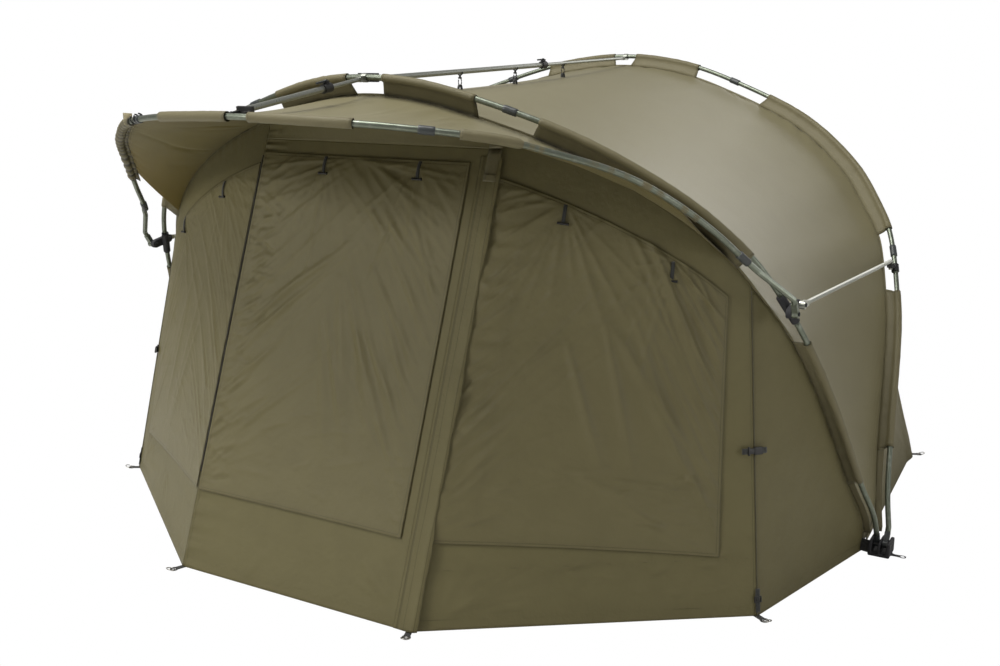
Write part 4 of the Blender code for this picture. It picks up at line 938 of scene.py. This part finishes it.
def pulled_sides(cloth, random, slopes, pitch, reach, width, height, low=0.04, high=0.96):
    """Folds that rise from the sewn sides toward the middle, as a hanging flap pulls them."""
    tall = cloth.size[1]
    for side, slope in zip((-1, 1), slopes):
        for y in np.arange(low * tall, high * tall, pitch):
            start = y + random.normal() * 0.3 * pitch
            run = reach * random.uniform(0.3, 1.0)
            rise = min(run * slope * random.uniform(0.75, 1.3), tall - start)
            x = edge_x(cloth, side, start)
            cloth.fold([(x, start, x - side * run, start + rise, width * random.uniform(0.5, 1.3),
                         height * random.uniform(0.2, 1.0))])


def toggle_place(grid, cloth, across, height):
    """The place on the cloth nearest to a share of the way across and up the coarse grid."""
    row, column = np.array([height * (len(grid) - 1)]), np.array([across * (grid.shape[1] - 1)])
    point = fine(grid, row, column)[0, 0]
    nearest = np.unravel_index(np.argmin(np.linalg.norm(cloth.base - point, axis=2)), cloth.up.shape)
    return cloth.centred[nearest], cloth.up[nearest]


def window_flap(cloth, random, hung_from, slopes=(0.95, 1.5)):
    """Folds of a rolled-down window flap: pulled from its sides and toggles, slack along its foot."""
    width, tall = cloth.size
    pulled_sides(cloth, random, slopes, 0.030, 0.60 * width, 0.0085, 0.0048)
    pulled_sides(cloth, random, (0.7, 0.8), 0.024, 0.12 * width, 0.0045, 0.0022)
    for x, y in hung_from:
        cloth.fold(fan(random, (x, y), -90, 110, 9, 0.42 * tall, 0.008, 0.0045))
        cloth.fold(fan(random, (x, y), -90, 240, 9, 0.14 * tall, 0.005, 0.003))
    for _ in range(5):
        x, y = random.uniform(-0.15, 0.1) * width, random.uniform(0.45, 0.72) * tall
        cloth.fold([(x, y, x + random.uniform(0.15, 0.3) * width, y - random.uniform(0.3, 0.45) * tall,
                     random.uniform(0.012, 0.02), random.uniform(0.004, 0.008))])
    for _ in range(34):
        x, y = random.uniform(-0.46, 0.40) * width, random.uniform(0.01, 0.30) * tall
        turn = random.normal() * 0.35 + (0.25 if x < 0 else -0.3)
        reach = random.uniform(0.05, 0.22)
        cloth.fold([(x, y, x + reach * math.cos(turn), y + reach * math.sin(turn),
                     random.uniform(0.003, 0.007), random.uniform(0.001, 0.0028))])
    cloth.hold(cloth.across, cloth.right, reach=0.007)
    cloth.hold(cloth.up, cloth.down, reach=0.012)
    cloth.stitch_edges()


def zip_line(name, points, normals, body, width, finish):
    """A zip coil or piping along a seam."""
    front_cloth(tube(name, points + normals * width / 3, width / 2, finish, body, sides=8))


def rounded_box(size, place, ring=False):
    """A box with soft edges, or an open frame, as a mesh that this places."""
    shape = bmesh.new()
    bmesh.ops.create_cube(shape, size=1.0)
    bmesh.ops.scale(shape, vec=size, verts=shape.verts)
    if ring:
        faces = [f for f in shape.faces if abs(f.normal.z) > 0.9]
        bmesh.ops.inset_individual(shape, faces=faces, thickness=min(size[:2]) * 0.24)
        bmesh.ops.delete(shape, geom=faces, context="FACES_ONLY")
        rims = [e for e in shape.edges if e.is_boundary]
        bmesh.ops.bridge_loops(shape, edges=rims)
    bmesh.ops.bevel(shape, geom=list(shape.edges), offset=min(size) * 0.22, segments=2, profile=0.6,
                    affect="EDGES", clamp_overlap=True)
    bmesh.ops.transform(shape, matrix=place, verts=shape.verts)
    return shape


def moulding(name, shapes, finish, body):
    """One piece out of several shapes."""
    mesh = bpy.data.meshes.new(name)
    whole = bmesh.new()
    for shape in shapes:
        shape.to_mesh(mesh)
        whole.from_mesh(mesh)
        shape.free()
    bmesh.ops.recalc_face_normals(whole, faces=whole.faces)
    whole.to_mesh(mesh)
    whole.free()
    mesh.shade_smooth()
    mesh.set_sharp_from_angle(angle=math.radians(40))
    return piece(name, mesh, finish, body)


def tape(name, points, across, thickness, finish, body):
    """A flat webbing tape along points, as wide as the vector across."""
    points = np.asarray(points, float)
    mesh = mesh_of(name, points[:, None] + np.linspace(-0.5, 0.5, 4)[None, :, None] * across)
    point_field(mesh, "seam", np.full(len(mesh.vertices), 2 * STITCH_IN))
    made = piece(name, mesh, finish, body)
    thickened(made, thickness)
    return made


def corner_fittings(label, panel, cheek):
    """The buckle across the corner seam, and the adjuster on its foot."""
    ridge = panel.points()[:, -1]
    along = unit(ridge[-1] - ridge[0])
    out = unit(panel.normals[len(ridge) // 2, -1] + cheek.normals[len(cheek.base) // 2, 0])
    sideways = np.cross(along, out)
    centre = ridge[np.searchsorted(ridge[:, 2], ridge[0, 2] + BUCKLE_HEIGHT)] + 0.006 * out
    parts = [rounded_box(size, placement(centre + shift * sideways, sideways, along, out))
             for size, shift in BUCKLE_PARTS]
    front_cloth(moulding(f"corner_buckle_{label}", parts, black_nylon, "front_rib"))
    for end, reach in (("near", -1), ("far", 1)):
        t = np.linspace(0.020, 0.046, 6)[:, None]
        line = centre + reach * t * sideways - 0.005 * out * ((t - 0.020) / 0.026)
        front_cloth(tape(f"corner_buckle_tape_{label}_{end}", line, 0.018 * along, WEBBING,
                         black_webbing, "front_rib"))
    foot = placement(ridge[0] + 0.052 * along + 0.004 * out, sideways, along, out)
    loop = rounded_box((0.026, 0.020, 0.0045), foot, ring=True)
    front_cloth(moulding(f"corner_adjuster_{label}", [loop], black_nylon, "front_rib"))
    line = ridge[0] + np.linspace(0.012, 0.085, 8)[:, None] * along + 0.0032 * out
    front_cloth(tape("corner_tape_" + label, line, 0.016 * sideways, THIN_WEBBING, black_webbing,
                     "front_rib"))


# door with its window flap, the header above it and the storm flap

random = np.random.default_rng(11)
door = Cloth(door_grid, 0.0075, (0, DOOR_TOP_ROW))
door.fold(fan(random, (-0.20, 0.0), 80, 60, 5, 0.22, 0.01, 0.003))
door.fold(fan(random, (0.38, 0.06), 135, 60, 6, 0.25, 0.008, 0.004))
door.pucker(random, door.across, door.up, 0.034, 0.045, 0.0048)
door.pucker(random, door.across, door.up, 0.060, 0.080, 0.0040)
door.pucker(random, door.right, door.up, 0.05, 0.03, 0.0022)
door.hold(door.across, door.right, reach=0.006)
under_flap = (abs(door.centred) < 0.37) & (door.up > 0.27)
door.height[under_flap] *= UNDER_FLAP
door.stitch(door.across, door.right)
door.topstitch(door.up - HEM_STITCH)
front_cloth(door.build("door_panel", wall_cloth, "door", name="door_cloth"))

door_flap = Cloth(door_grid, 0.0065, DOOR_FLAP_ROWS, DOOR_FLAP_COLUMNS, FLAP_LIFT)
door_flap.pucker(random, door_flap.across, door_flap.up, 0.030, 0.022, 0.0040)
for y in np.arange(0.03, 1.10, 0.015):
    start, reach = y + random.normal() * 0.006, random.uniform(0.03, 0.13)
    lean = random.uniform(0.15, 1.1) * (1 if random.uniform() > 0.25 else -0.6)
    x = edge_x(door_flap, -1, start) + random.uniform(0.004, 0.05)
    door_flap.fold([(x, start, x + reach, start + reach * lean, random.uniform(0.004, 0.009),
                     random.choice((-1, 1)) * random.uniform(0.002, 0.0065))])
door_toggles = [toggle_place(door_grid, door_flap, *shares) for shares in DOOR_TOGGLE_SHARES]
window_flap(door_flap, random, door_toggles)
door_flap.height *= DOOR_FLAP_FOLDS
front_cloth(door_flap.build("door_window_flap", flap_cloth, "door"))
straps(door_flap, door_toggles, "door_toggle", "door")

header = Cloth(header_grid, 0.009)
header.pucker(random, header.down, header.across, 0.07, 0.03, 0.002)
header.pucker(random, header.across, header.up, 0.026, 0.05, 0.0040)
header.fold(fan(random, (-0.42, 0.0), 60, 70, 5, 0.12, 0.006, 0.003))
header.stitch(header.down)
header.topstitch(header.up - 0.006)
front_cloth(header.build("door_header", wall_cloth, "front_rib"))

ridge = door_grid[:, -1]
toward_door = unit(door_grid[:, -2] - ridge)
rise = (ridge[:, 2] - HEM_HEIGHT) / (door_seam_top[2] - HEM_HEIGHT)
panel_runs = unit(panel_grid[:, 1] - panel_grid[:, 0])
toward_panel = np.stack([np.interp(rise, PANEL_HEIGHT_SHARES, axis) for axis in panel_runs.T], axis=1)
along_ridge = unit(door_corner - door_foot)


def square_out(runs):
    """The normals of the cloth that leaves the ridge along these runs."""
    normals = unit(np.cross(along_ridge, runs))
    return normals * np.sign((normals * (ridge - INSIDE)).sum(axis=1))[:, None]


door_out, panel_out = square_out(toward_door), square_out(toward_panel)
shared = (door_out + panel_out) / (1 + (door_out * panel_out).sum(axis=1))[:, None]
door_side = [ridge + reach * STORM_WIDTH * toward_door + lift * door_out
             for reach, lift in ((1, 0.004), (0.5, 0.006))]
panel_side = [ridge + reach * STORM_WIDTH * toward_panel + lift * panel_out
              for reach, lift in ((0.22, 0.017), (0.40, 0.014))]
storm_grid = np.stack([*door_side, ridge + STORM_LIFT * shared, *panel_side], axis=1)
storm = Cloth(storm_grid, 0.006, (0, STORM_TOP_ROW), lift=0.0)
free_share = np.clip(storm.across / storm.across[:, -1:], 0, 1) ** 2
storm.height += free_share * (0.006 * np.sin(storm.up * 11.0) + 0.004 * np.sin(storm.up * 27.0 + 1.0))
storm.height = np.maximum(storm.height, -0.006)
storm.pucker(random, storm.right, storm.up, 0.06, 0.02, 0.002)
storm.stitch(storm.across, storm.across - 0.028, storm.right)
front_cloth(storm.build("storm_flap", wall_cloth, "door"))

tab_out, tab_side = shared[-2], toward_door[-2]
tab_foot = ridge[-1] + (STORM_LIFT + 0.005) * tab_out + 0.006 * tab_side
for part, low, high, lift, body in (("upper", 0.004, 0.050, 0.0, "front_rib"),
                                    ("lower", -0.100, -0.002, 0.0, "door"),
                                    ("fold", -0.104, -0.080, 0.003, "door")):
    tab_line = tab_foot + np.linspace(low, high, 6)[:, None] * along_ridge + lift * tab_out
    front_cloth(tape("storm_tab_" + part, tab_line, STORM_TAB_WIDTH * tab_side, STORM_TAB_THICK,
                     sleeve_cloth, body))

# front panels with their window flaps, and side panels

for label, side in SIDES:
    random = np.random.default_rng(20 + side)
    panel = Cloth(panel_grid, 0.009, side=side)
    panel.fold(fan(random, (-0.45 * side, 0.05), 90 - 50 * side, 70, 8, 0.35, 0.009, 0.005))
    panel.fold(fan(random, (0.0, 0.16), -90, 150, 6, 0.14, 0.008, 0.004))
    panel.pucker(random, panel.right, panel.up, 0.06, 0.03, 0.0018)
    panel.pucker(random, panel.down, panel.across, 0.07, 0.025, 0.002)
    panel.hold(panel.across, panel.right, reach=0.006)
    under_flap = (panel.across > 0.13) & (panel.right > 0.15) & (panel.up > 0.24) & (panel.down > 0.13)
    panel.height[under_flap] *= UNDER_FLAP
    if side > 0:
        crinkles(panel, np.random.default_rng(61), 20, (-0.46, 0.36), (0.04, 0.20), 0.006)
    panel.stitch(panel.across, panel.right, panel.down)
    panel.topstitch(panel.up - HEM_STITCH, panel.up - SKIRT_STITCH)
    front_cloth(panel.build("front_panel_" + label, wall_cloth, "front_rib"))

    flap = Cloth(panel_grid, 0.0065, WINDOW_FLAP_ROWS, WINDOW_FLAP_COLUMNS, FLAP_LIFT, side)
    flap.pucker(random, flap.across, flap.up, 0.060, 0.070, 0.0042)
    flap.topstitch((flap.across / flap.across[:, -1:] - FLAP_SEAM_SHARE) * flap.size[0])
    mirrored_grid = panel_grid * (side, 1, 1)
    toggles = [toggle_place(mirrored_grid, flap, *shares) for shares in WINDOW_TOGGLE_SHARES]
    window_flap(flap, random, toggles)
    if side > 0:
        pulled_sides(flap, random, (0.75, 1.8), 0.055, 0.5 * flap.size[0], 0.012, 0.0045, 0.04, 0.62)
        crinkles(flap, np.random.default_rng(62), 26, (-0.40, 0.30), (0.02, 0.26), 0.005)
        flap.hold(flap.across, reach=0.030)
        flap.hold(flap.right, flap.up, reach=0.010)
    flap.height *= RIGHT_FLAP_FOLDS if side > 0 else LEFT_FLAP_FOLDS
    front_cloth(flap.build("window_flap_" + label, flap_cloth, "front_rib"))
    straps(flap, toggles, "window_toggle_" + label, "front_rib")

    cheek = Cloth(side_grid, 0.010, side=side)
    cheek.fold(fan(random, (0.1 * side, 0.5), 90, 120, 6, 0.5, 0.02, 0.004))
    cheek.pucker(random, cheek.down, cheek.across, 0.08, 0.03, 0.002)
    cheek.stitch(cheek.across, cheek.right, cheek.down)
    cheek.topstitch(cheek.up - HEM_STITCH)
    front_cloth(cheek.build("side_panel_" + label, wall_cloth, "front_rib"))

    out = unit(panel.normals[:, -1] + cheek.normals[:1, 0])
    zip_line(f"corner_piping_{label}", panel.points()[::6, -1], out[::6], "front_rib",
             PIPING_WIDTH, piping)
    corner_fittings(label, panel, cheek)

left_edge = door.points()[:, 0]
left_out = unit(door.normals[:, 0] + (-0.5, 0, 0))
start, end = np.searchsorted(left_edge[:, 2], DOOR_ZIP_HEIGHTS)
zip_path = left_edge[start:end:4].copy()
zip_path[:, 0] += 0.0022 * np.sin(zip_path[:, 2] * 19.0) * np.sin(zip_path[:, 2] * 47.0)
zip_line("door_zip_left", zip_path, left_out[start:end:4], "door", ZIP_WIDTH, zip_coil)

# visor panel and rear walls

random = np.random.default_rng(31)
visor_sheet = Cloth(visor_grid, 0.0065)
for _ in range(26):
    x = random.uniform(-1.05, 1.05)
    reach = random.uniform(0.15, 0.5)
    visor_sheet.fold([(x, 0.02, x + random.uniform(-0.1, 0.1), reach, random.uniform(0.012, 0.03),
                       random.uniform(0.001, 0.004))])
visor_sheet.pucker(random, visor_sheet.down, visor_sheet.across, 0.06, 0.03, 0.0018)
# painted light: the visor's left end turns yellow toward its tip, as light shining through the cloth
visor_sheet.painted_light = np.clip((-visor_sheet.base[..., 0] - 0.80) / 0.35, 0, 1)
visor_sheet.stitch_edges()
visor_piece = visor_sheet.build("visor_panel", shell_cloth, None, inner=visor_lining,
                                name="visor_sheet")
tuple(front.at(0))
tuple(front.at(0) - VISOR_BEND * FRONT_BACK)
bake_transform(visor_piece)

for grid, node, side in ((back_grid, "rear_wall", 1), (back_side_grid, "rear_side_panel_right", 1),
                         (back_side_grid, "rear_side_panel_left", -1)):
    sheet = Cloth(grid, 0.012, side=side)
    wide, tall = sheet.size
    for x in (-0.35, 0.0, 0.35):
        sheet.fold(fan(random, (x * wide, 0.0), 90, 90, 5, 0.5 * tall, 0.02, 0.005))
    sheet.pucker(random, sheet.down, sheet.across, 0.09, 0.05, 0.0025)
    sheet.hold(sheet.across, sheet.right, reach=0.01)
    sheet.stitch_edges()
    gathers(sheet.build(node, wall_cloth, "rear_rib"))

# sleeves and fins that hold the poles


def visor_girth(place):
    """The visor sleeve's radius: close on the pole beyond the step on the right, loose elsewhere."""
    return SLEEVE_RADIUS + 0.002 - 0.0058 * (0.5 + 0.5 * math.tanh((place - VISOR_STEP_AT) / 0.004))


FIN_SHARES = (1.0, 0.7, 0.42)
FIN_HALF = 0.0012
HEM_OVERLAP = 0.016
WRAP_TURNS = np.linspace(math.radians(28), math.radians(332), 15)


def sleeve_line(rib, inward, place, depth, girth, pull, bulge, pleat):
    """One line of a sleeve: up one side of its fin, round the pole and down the other side."""
    def frame_at(shift):
        along = inward(shift)
        return rib.at(shift), along, np.cross(rib.run(shift), along)

    def side_points(shares, off):
        for share in shares:
            centre, along, across = frame_at(place + HEM_OVERLAP * pull * share)
            yield centre + share * depth * along + (off + (bulge + pleat) * hump(share)) * across

    centre, along, across = frame_at(place)
    radius = girth + 0.4 * abs(bulge) + pleat
    wrap = [centre + radius * (math.cos(t) * along + math.sin(t) * across) for t in WRAP_TURNS]
    return [*side_points(FIN_SHARES, FIN_HALF), *wrap, *side_points(FIN_SHARES[::-1], -FIN_HALF)]


def sleeve(name, seed, rib, spans, inward, depth_at, body, ripple, foot=None, gathered=None,
           girth=lambda place: SLEEVE_RADIUS, fin_painted_shade=0.0):
    """Cloth round the pole at the spans, with a fin down to the seam, and a hem between them."""
    random = np.random.default_rng(seed)
    spans = list(spans) + [(-low, -high) for high, low in spans]
    grids, shades = [], []
    for high, low in spans:
        drawn = gathered is not None and high <= gathered
        stations = np.linspace(high, low, max(10, int((high - low) / (0.0035 if drawn else 0.012))))
        pleats = drawn * np.sin(stations * 2 * math.pi / PLEAT_PITCH + 1.2 * np.sin(stations * 23.0))
        # a slight grey of the gathered elastic over the whole drawn span, and painted shade much darker
        # in each pleat's valley
        shades.append(drawn * (0.12 + 0.88 * np.clip(-pleats + 0.1, 0, 1) ** 0.7))
        ends = np.exp(-(high - stations) / 0.02) - np.exp(-(stations - low) / 0.02)
        wave = ripple * np.interp(stations, np.linspace(-3, 3, 260), random.normal(size=260))
        draws = zip(stations, ends, wave, pleats * PLEAT_DEPTH)
        grids.append(np.array([sleeve_line(rib, inward, s, depth_at(s), girth(s), pull, bulge, pleat)
                               for s, pull, bulge, pleat in draws]))

    def hem(stations, shares):
        """A strip of the fin alone, at these shares of its depth."""
        grids.append(np.array([[rib.at(s) + share * depth_at(s) * inward(s) for share in shares]
                               for s in stations]))
        shades.append(np.zeros(len(stations)))

    edges = sorted({place for span in spans for place in span})
    for low, high in zip(edges, edges[1:]):
        if not any(abs(low - b) < 1e-6 and abs(high - a) < 1e-6 for a, b in spans):
            count = max(6, int((high - low) / 0.02))
            hem(np.linspace(high + HEM_OVERLAP, low - HEM_OVERLAP, count), (1.0, 0.93, 0.86))
    for sign in (-1, 1) if foot else ():
        hem(sign * np.linspace(edges[-1] + 0.004, foot, 16), (1.0, 0.8, 0.6, 0.45))

    shape = bmesh.new()
    fields = {"seam": [], "painted_shade": []}
    for grid, dark in zip(grids, shades):
        strip = mesh_of("strip", grid)
        shape.from_mesh(strip)
        bpy.data.meshes.remove(strip)
        columns = grid.shape[1]
        run = np.linalg.norm(np.diff(grid[:, 0], axis=0), axis=1)
        along = np.concatenate([[0], np.cumsum(run)])
        fields["seam"].append(np.repeat(np.minimum(along, along[-1] - along), columns))
        # painted shade on the fin's edge columns, as the fin lies in shadow below the pole
        fin = np.zeros(columns)
        if columns > len(WRAP_TURNS):
            fin[[0, 1, 2, -3, -2, -1]] = fin_painted_shade * np.array([1, 1, 0.7, 0.7, 1, 1])
        fields["painted_shade"].append(np.maximum(dark[:, None], fin[None]).reshape(-1))
    mesh = bpy.data.meshes.new(name)
    shape.to_mesh(mesh)
    shape.free()
    for field, values in fields.items():
        point_field(mesh, field, np.concatenate(values))
    thickened(piece(name + "_cloth", mesh, sleeve_cloth, body, [name]), CLOTH)


# the front sleeve's fin gets painted shade
sleeve("front_sleeve", 18, front, FRONT_SLEEVES, lambda s: -outward(front, FRONT_BACK, s),
       lambda s: fin_depth(s, FRONT_FIN), "front_rib", 0.0016, front.half - STEM_LENGTH, fin_painted_shade=0.22)
sleeve("rear_sleeve", 17, rear, REAR_SLEEVES, lambda s: -outward(rear, REAR_BACK, s),
       lambda s: fin_depth(s, REAR_FIN), "rear_rib", 0.0012, rear.half - STEM_LENGTH)
sleeve("visor_sleeve", 18, visor, VISOR_SLEEVES, visor_inward, lambda s: VISOR_FIN, "visor", 0.0010,
       gathered=VISOR_GATHERED_FROM, girth=visor_girth)

# clips and the sleeve's loose tab at the visor's left end

for k, place in enumerate(VISOR_CLIPS_AT):
    centre, run = visor.at(place), visor.run(place)
    upward = unit(UP - run * run[2])
    across = np.cross(run, upward)
    turns = np.linspace(0, 1.7 * math.pi, 22)
    hook = [centre + 0.004 * upward + CLIP_RADIUS * (math.cos(a) * upward + math.sin(a) * across)
            for a in turns]
    tube(f"visor_clip_{k + 1}", hook, CLIP_WIRE, black_nylon, "visor", sides=8)
tab_place = -VISOR_SLEEVES[1][1]
tab_at, tab_run = visor.at(tab_place - 0.004), visor.run(tab_place)
tab_rise = np.linspace(-0.012, 0.026, 5)[:, None] * unit(UP - tab_run * tab_run[2])
tab_points = tab_at - 0.014 * RIGHT + tab_rise
tape("visor_sleeve_tab", tab_points, VISOR_TAB_WIDTH * unit(RIGHT + 0.25 * tab_run), VISOR_TAB_THICK,
     tan_webbing, "visor")

# groundsheet with its pegging tabs and rings


def half_width(y):
    """How wide the ground line is at this place, each side of the middle."""
    return np.interp(y, (DOOR_FRONT_Y, CORNER_Y, FRONT_FOOT_Y, REAR_FOOT_Y, BACK_CORNER_Y, BACK_Y),
                     (DOOR_HALF_WIDTH, CORNER_X, HUB_SIDE_X, HUB_SIDE_X, BACK_CORNER_X, BACK_X))


ground_grid = np.array([[(x * (half_width(y) - RIM_INSET), y * 0.994, 0.0016)
                         for x in np.linspace(-1, 1, 80)]
                        for y in np.linspace(DOOR_FRONT_Y, BACK_Y, 90)])
ground_grid[[0, -1], :, 2] += RIM_HEIGHT
ground_grid[1:-1, [0, -1], 2] += RIM_HEIGHT
ground = Cloth(ground_grid, 0.035, lift=0.0)
ground.normals = np.broadcast_to(UP, ground.normals.shape)
ground.stitch_edges()
ground.build("groundsheet", floor_cloth, "base", floor_cloth)


def flat_plate(name, outlines, thickness, where):
    """A flat plate: the first outline is its edge, any others are holes."""
    curve = bpy.data.curves.new(name, "CURVE")
    curve.dimensions = "2D"
    curve.fill_mode = "BOTH"
    curve.extrude = thickness / 2
    for outline in outlines:
        line = curve.splines.new("POLY")
        line.points.add(len(outline) - 1)
        for corner, (x, y) in zip(line.points, outline):
            corner.co = (x, y, 0, 1)
        line.use_cyclic_u = True
    made = bpy.data.objects.new(name, curve)
    made.matrix_world = where
    return made


def ring_points(radius, start=0.0, turn=2 * math.pi, count=24):
    """Points round a ring or part of one."""
    angles = start + turn * np.arange(count) / (count if turn == 2 * math.pi else count - 1)
    return [(radius * math.cos(a), radius * math.sin(a)) for a in angles]


# each right-hand corner of the ground line, and the way its tab points, in degrees
pegging = [(DOOR_HALF_WIDTH, DOOR_FRONT_Y, -70), (CORNER_X, CORNER_Y, -32),
           (BACK_CORNER_X, BACK_CORNER_Y, 25), (BACK_X, BACK_Y, 68)]
for k, (x, y, turn) in enumerate(pegging):
    for label, side in SIDES:
        angle = math.radians(turn if side > 0 else 180 - turn)
        out = np.array([math.cos(angle), math.sin(angle), 0])
        centre = np.array([side * x, y, 0.0]) + out * (TAB_REACH - TAB_HALF)
        where = placement(centre + (0, 0, TAB_HEIGHT), -out, np.cross(UP, -out), UP)
        upper = math.asin(TAB_HALF / TAB_RADIUS)
        edge = ring_points(TAB_RADIUS, upper, 2 * math.pi - 2 * upper, 18)
        edge += [(TAB_REACH, -TAB_HALF), (TAB_REACH, TAB_HALF)]
        outlines = [edge, ring_points(TAB_HOLE)]
        tab = flat_plate(f"pegging_tab_{label}_{k + 1}", outlines, TAB_THICK, where)
        link(tab, black_webbing, "base")
        sideways = np.cross(UP, out)
        hoop = [centre + out * 0.012 + RING_RADIUS * (math.cos(a) * out + math.sin(a) * sideways)
                + UP * (0.0065 + 0.004 * math.cos(a)) for a in np.linspace(0, 2 * math.pi, 25)]
        tube(f"pegging_ring_{label}_{k + 1}", hoop, RING_WIRE, steel, "base", sides=8, caps=False)

# hooks that hold the shell to the spine bar

for label in ("front", "middle", "rear"):
    node = "shell_hook_" + label
    low, high = (np.array(corner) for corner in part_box(node))
    y = (low[1] + high[1]) / 2
    bar_at = np.array([0, y, high[2]])
    radius = (high[0] - low[0]) / 2 - HOOK_THICK / 2
    turns = np.linspace(math.pi, 2 * math.pi, 15)
    cradle = bar_at + radius * np.stack([np.cos(turns), 0 * turns, np.sin(turns)], axis=1)
    neck = bar_at + np.array([[0, 0, -radius], [0, 0, -radius - NECK_LENGTH]])
    loop_top = neck[-1]
    drop = loop_top[2] - low[2] - 0.012
    wire = [loop_top + (HOOK_BEND * math.sin(t), 0, -drop * (1 - math.cos(t)) / 2)
            for t in np.linspace(0, 5.3, 20)]
    arch_line = [(0, y + 0.011 * math.cos(t), low[2] - 0.002 + 0.018 * math.sin(t))
                 for t in np.linspace(0, math.pi, 14)]
    swivel = rounded_box(SWIVEL_SIZE, Matrix.Translation(loop_top))
    for made in (tube(node + "_cradle", cradle, HOOK_THICK / 2, black_nylon, None, [node], 10),
                 tube(node + "_neck", neck, NECK_RADIUS, black_nylon, None, sides=10),
                 tube(node + "_hook", wire, HOOK_WIRE, black_nylon, None, sides=10),
                 moulding(node + "_swivel", [swivel], black_nylon, None),
                 tape(node + "_loop", arch_line, 0.010 * RIGHT, THIN_WEBBING, black_webbing, None)):
        with_shell(made)

# mouldings with softened edges

for kind, body, voxel, rounds in (("hub", "base", 0.0024, 22),
                                  ("joint_bracket", "front_rib", 0.0016, 7)):
    for label, side in SIDES:
        node = f"{kind}_{label}"
        soft = bpy.data.objects.new(node + "_moulding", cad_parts[node].data.copy())
        soft.matrix_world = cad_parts[node].matrix_world
        link(soft, black_nylon, body, [node])
        even_mesh = soft.modifiers.new("even_mesh", "REMESH")
        even_mesh.mode = "VOXEL"
        even_mesh.voxel_size = voxel
        even_mesh.use_smooth_shade = True
        rounded = soft.modifiers.new("rounded", "SMOOTH")
        rounded.factor = 0.5
        rounded.iterations = rounds

for label, side in SIDES:
    strap_line = [((1.478 + 0.052 * t) * side, -0.024 - 0.012 * t, 0.030) for t in np.linspace(0, 1, 6)]
    tape(f"hub_strap_{label}", strap_line, HUB_STRAP_WIDTH * UP, 0.0022, black_webbing, "base")

# finishes of the nodes that stay

for node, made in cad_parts.items():
    if made.hide_render:
        continue
    if "rib_foot" in node:
        finish = grey_nylon
    elif "spine" in node and node.endswith("_tube"):
        finish = spine_metal
    elif node.startswith("side_bar_") and "socket" not in node:
        finish = bar_metal
    elif node.endswith("_tube") or "pole" in node:
        finish = pole_coat
    elif "lever" in node or "hook" in node:
        finish = grey_nylon
    else:
        finish = black_nylon
    made.data.materials.clear()
    made.data.materials.append(finish)

# floor, backdrop, lamps and camera


def white_to_camera(made, shader, output, white_kind):
    """The camera sees plain white, and everything else sees this shader."""
    paths = made.nodes.new("ShaderNodeLightPath")
    white = made.nodes.new(white_kind)
    white.inputs["Color"].default_value = (1, 1, 1, 1)
    mix = made.nodes.new("ShaderNodeMixShader")
    made.links.new(paths.outputs["Is Camera Ray"], mix.inputs["Fac"])
    made.links.new(shader, mix.inputs[1])
    made.links.new(white.outputs[0], mix.inputs[2])
    made.links.new(mix.outputs["Shader"], output.inputs["Surface"])


bpy.ops.mesh.primitive_plane_add(size=60, location=(0, 0, -0.001))
floor = bpy.context.object
floor.name = "floor"
floor_finish = Finish("floor_paint", FLOOR_COLOUR, 0.9)
white_to_camera(floor_finish.material.node_tree, floor_finish.shader.outputs["BSDF"],
                floor_finish.nodes["Material Output"], "ShaderNodeEmission")
floor.data.materials.append(floor_finish.material)

world = bpy.data.worlds.new("studio")
world.use_nodes = True
bpy.context.scene.world = world
backdrop = world.node_tree.nodes["Background"]
backdrop.inputs["Color"].default_value = (1.0, 0.98, 0.95, 1)
backdrop.inputs["Strength"].default_value = SKY_STRENGTH
white_to_camera(world.node_tree, backdrop.outputs["Background"], world.node_tree.nodes["World Output"],
                "ShaderNodeBackground")


def lamp(name, at, toward, size, power, colour):
    """A soft square lamp."""
    data = bpy.data.lights.new(name, "AREA")
    data.size = size
    data.energy = power
    data.color = colour
    made = bpy.data.objects.new(name, data)
    made.location = at
    made.rotation_euler = (Vector(toward) - Vector(at)).to_track_quat("-Z", "Y").to_euler()
    bpy.context.scene.collection.objects.link(made)


lamp("key", (-3.4, -7.1, 4.2), (0, -0.6, 0.6), 1.7, 238, (1, 0.985, 0.93))
lamp("over", (-1.2, -1.8, 6.6), (0.1, -0.3, 1.0), 3.5, 375, (1, 0.985, 0.94))
lamp("back", (1.2, 8.0, 3.2), (0.6, 0.4, 1.2), 5.0, 150, (1, 0.985, 0.94))
lamp("side", (6.5, -1.0, 2.2), (1.0, 0.1, 0.6), 2.5, 66, (1, 0.985, 0.95))

camera_data = bpy.data.cameras.new("camera")
camera_data.sensor_width = 36.0
camera_data.lens = CAMERA_LENS_MM
camera = bpy.data.objects.new("camera", camera_data)
turned = (Matrix.Rotation(CAMERA_TURN, 4, "Z") @ Matrix.Rotation(math.pi / 2 - CAMERA_DOWN, 4, "X")
          @ Matrix.Rotation(CAMERA_ROLL, 4, "Z"))
camera.matrix_world = Matrix.Translation(CAMERA_AT) @ turned
bpy.context.scene.collection.objects.link(camera)
bpy.context.scene.camera = camera

bpy.context.scene.view_settings.view_transform = "Standard"
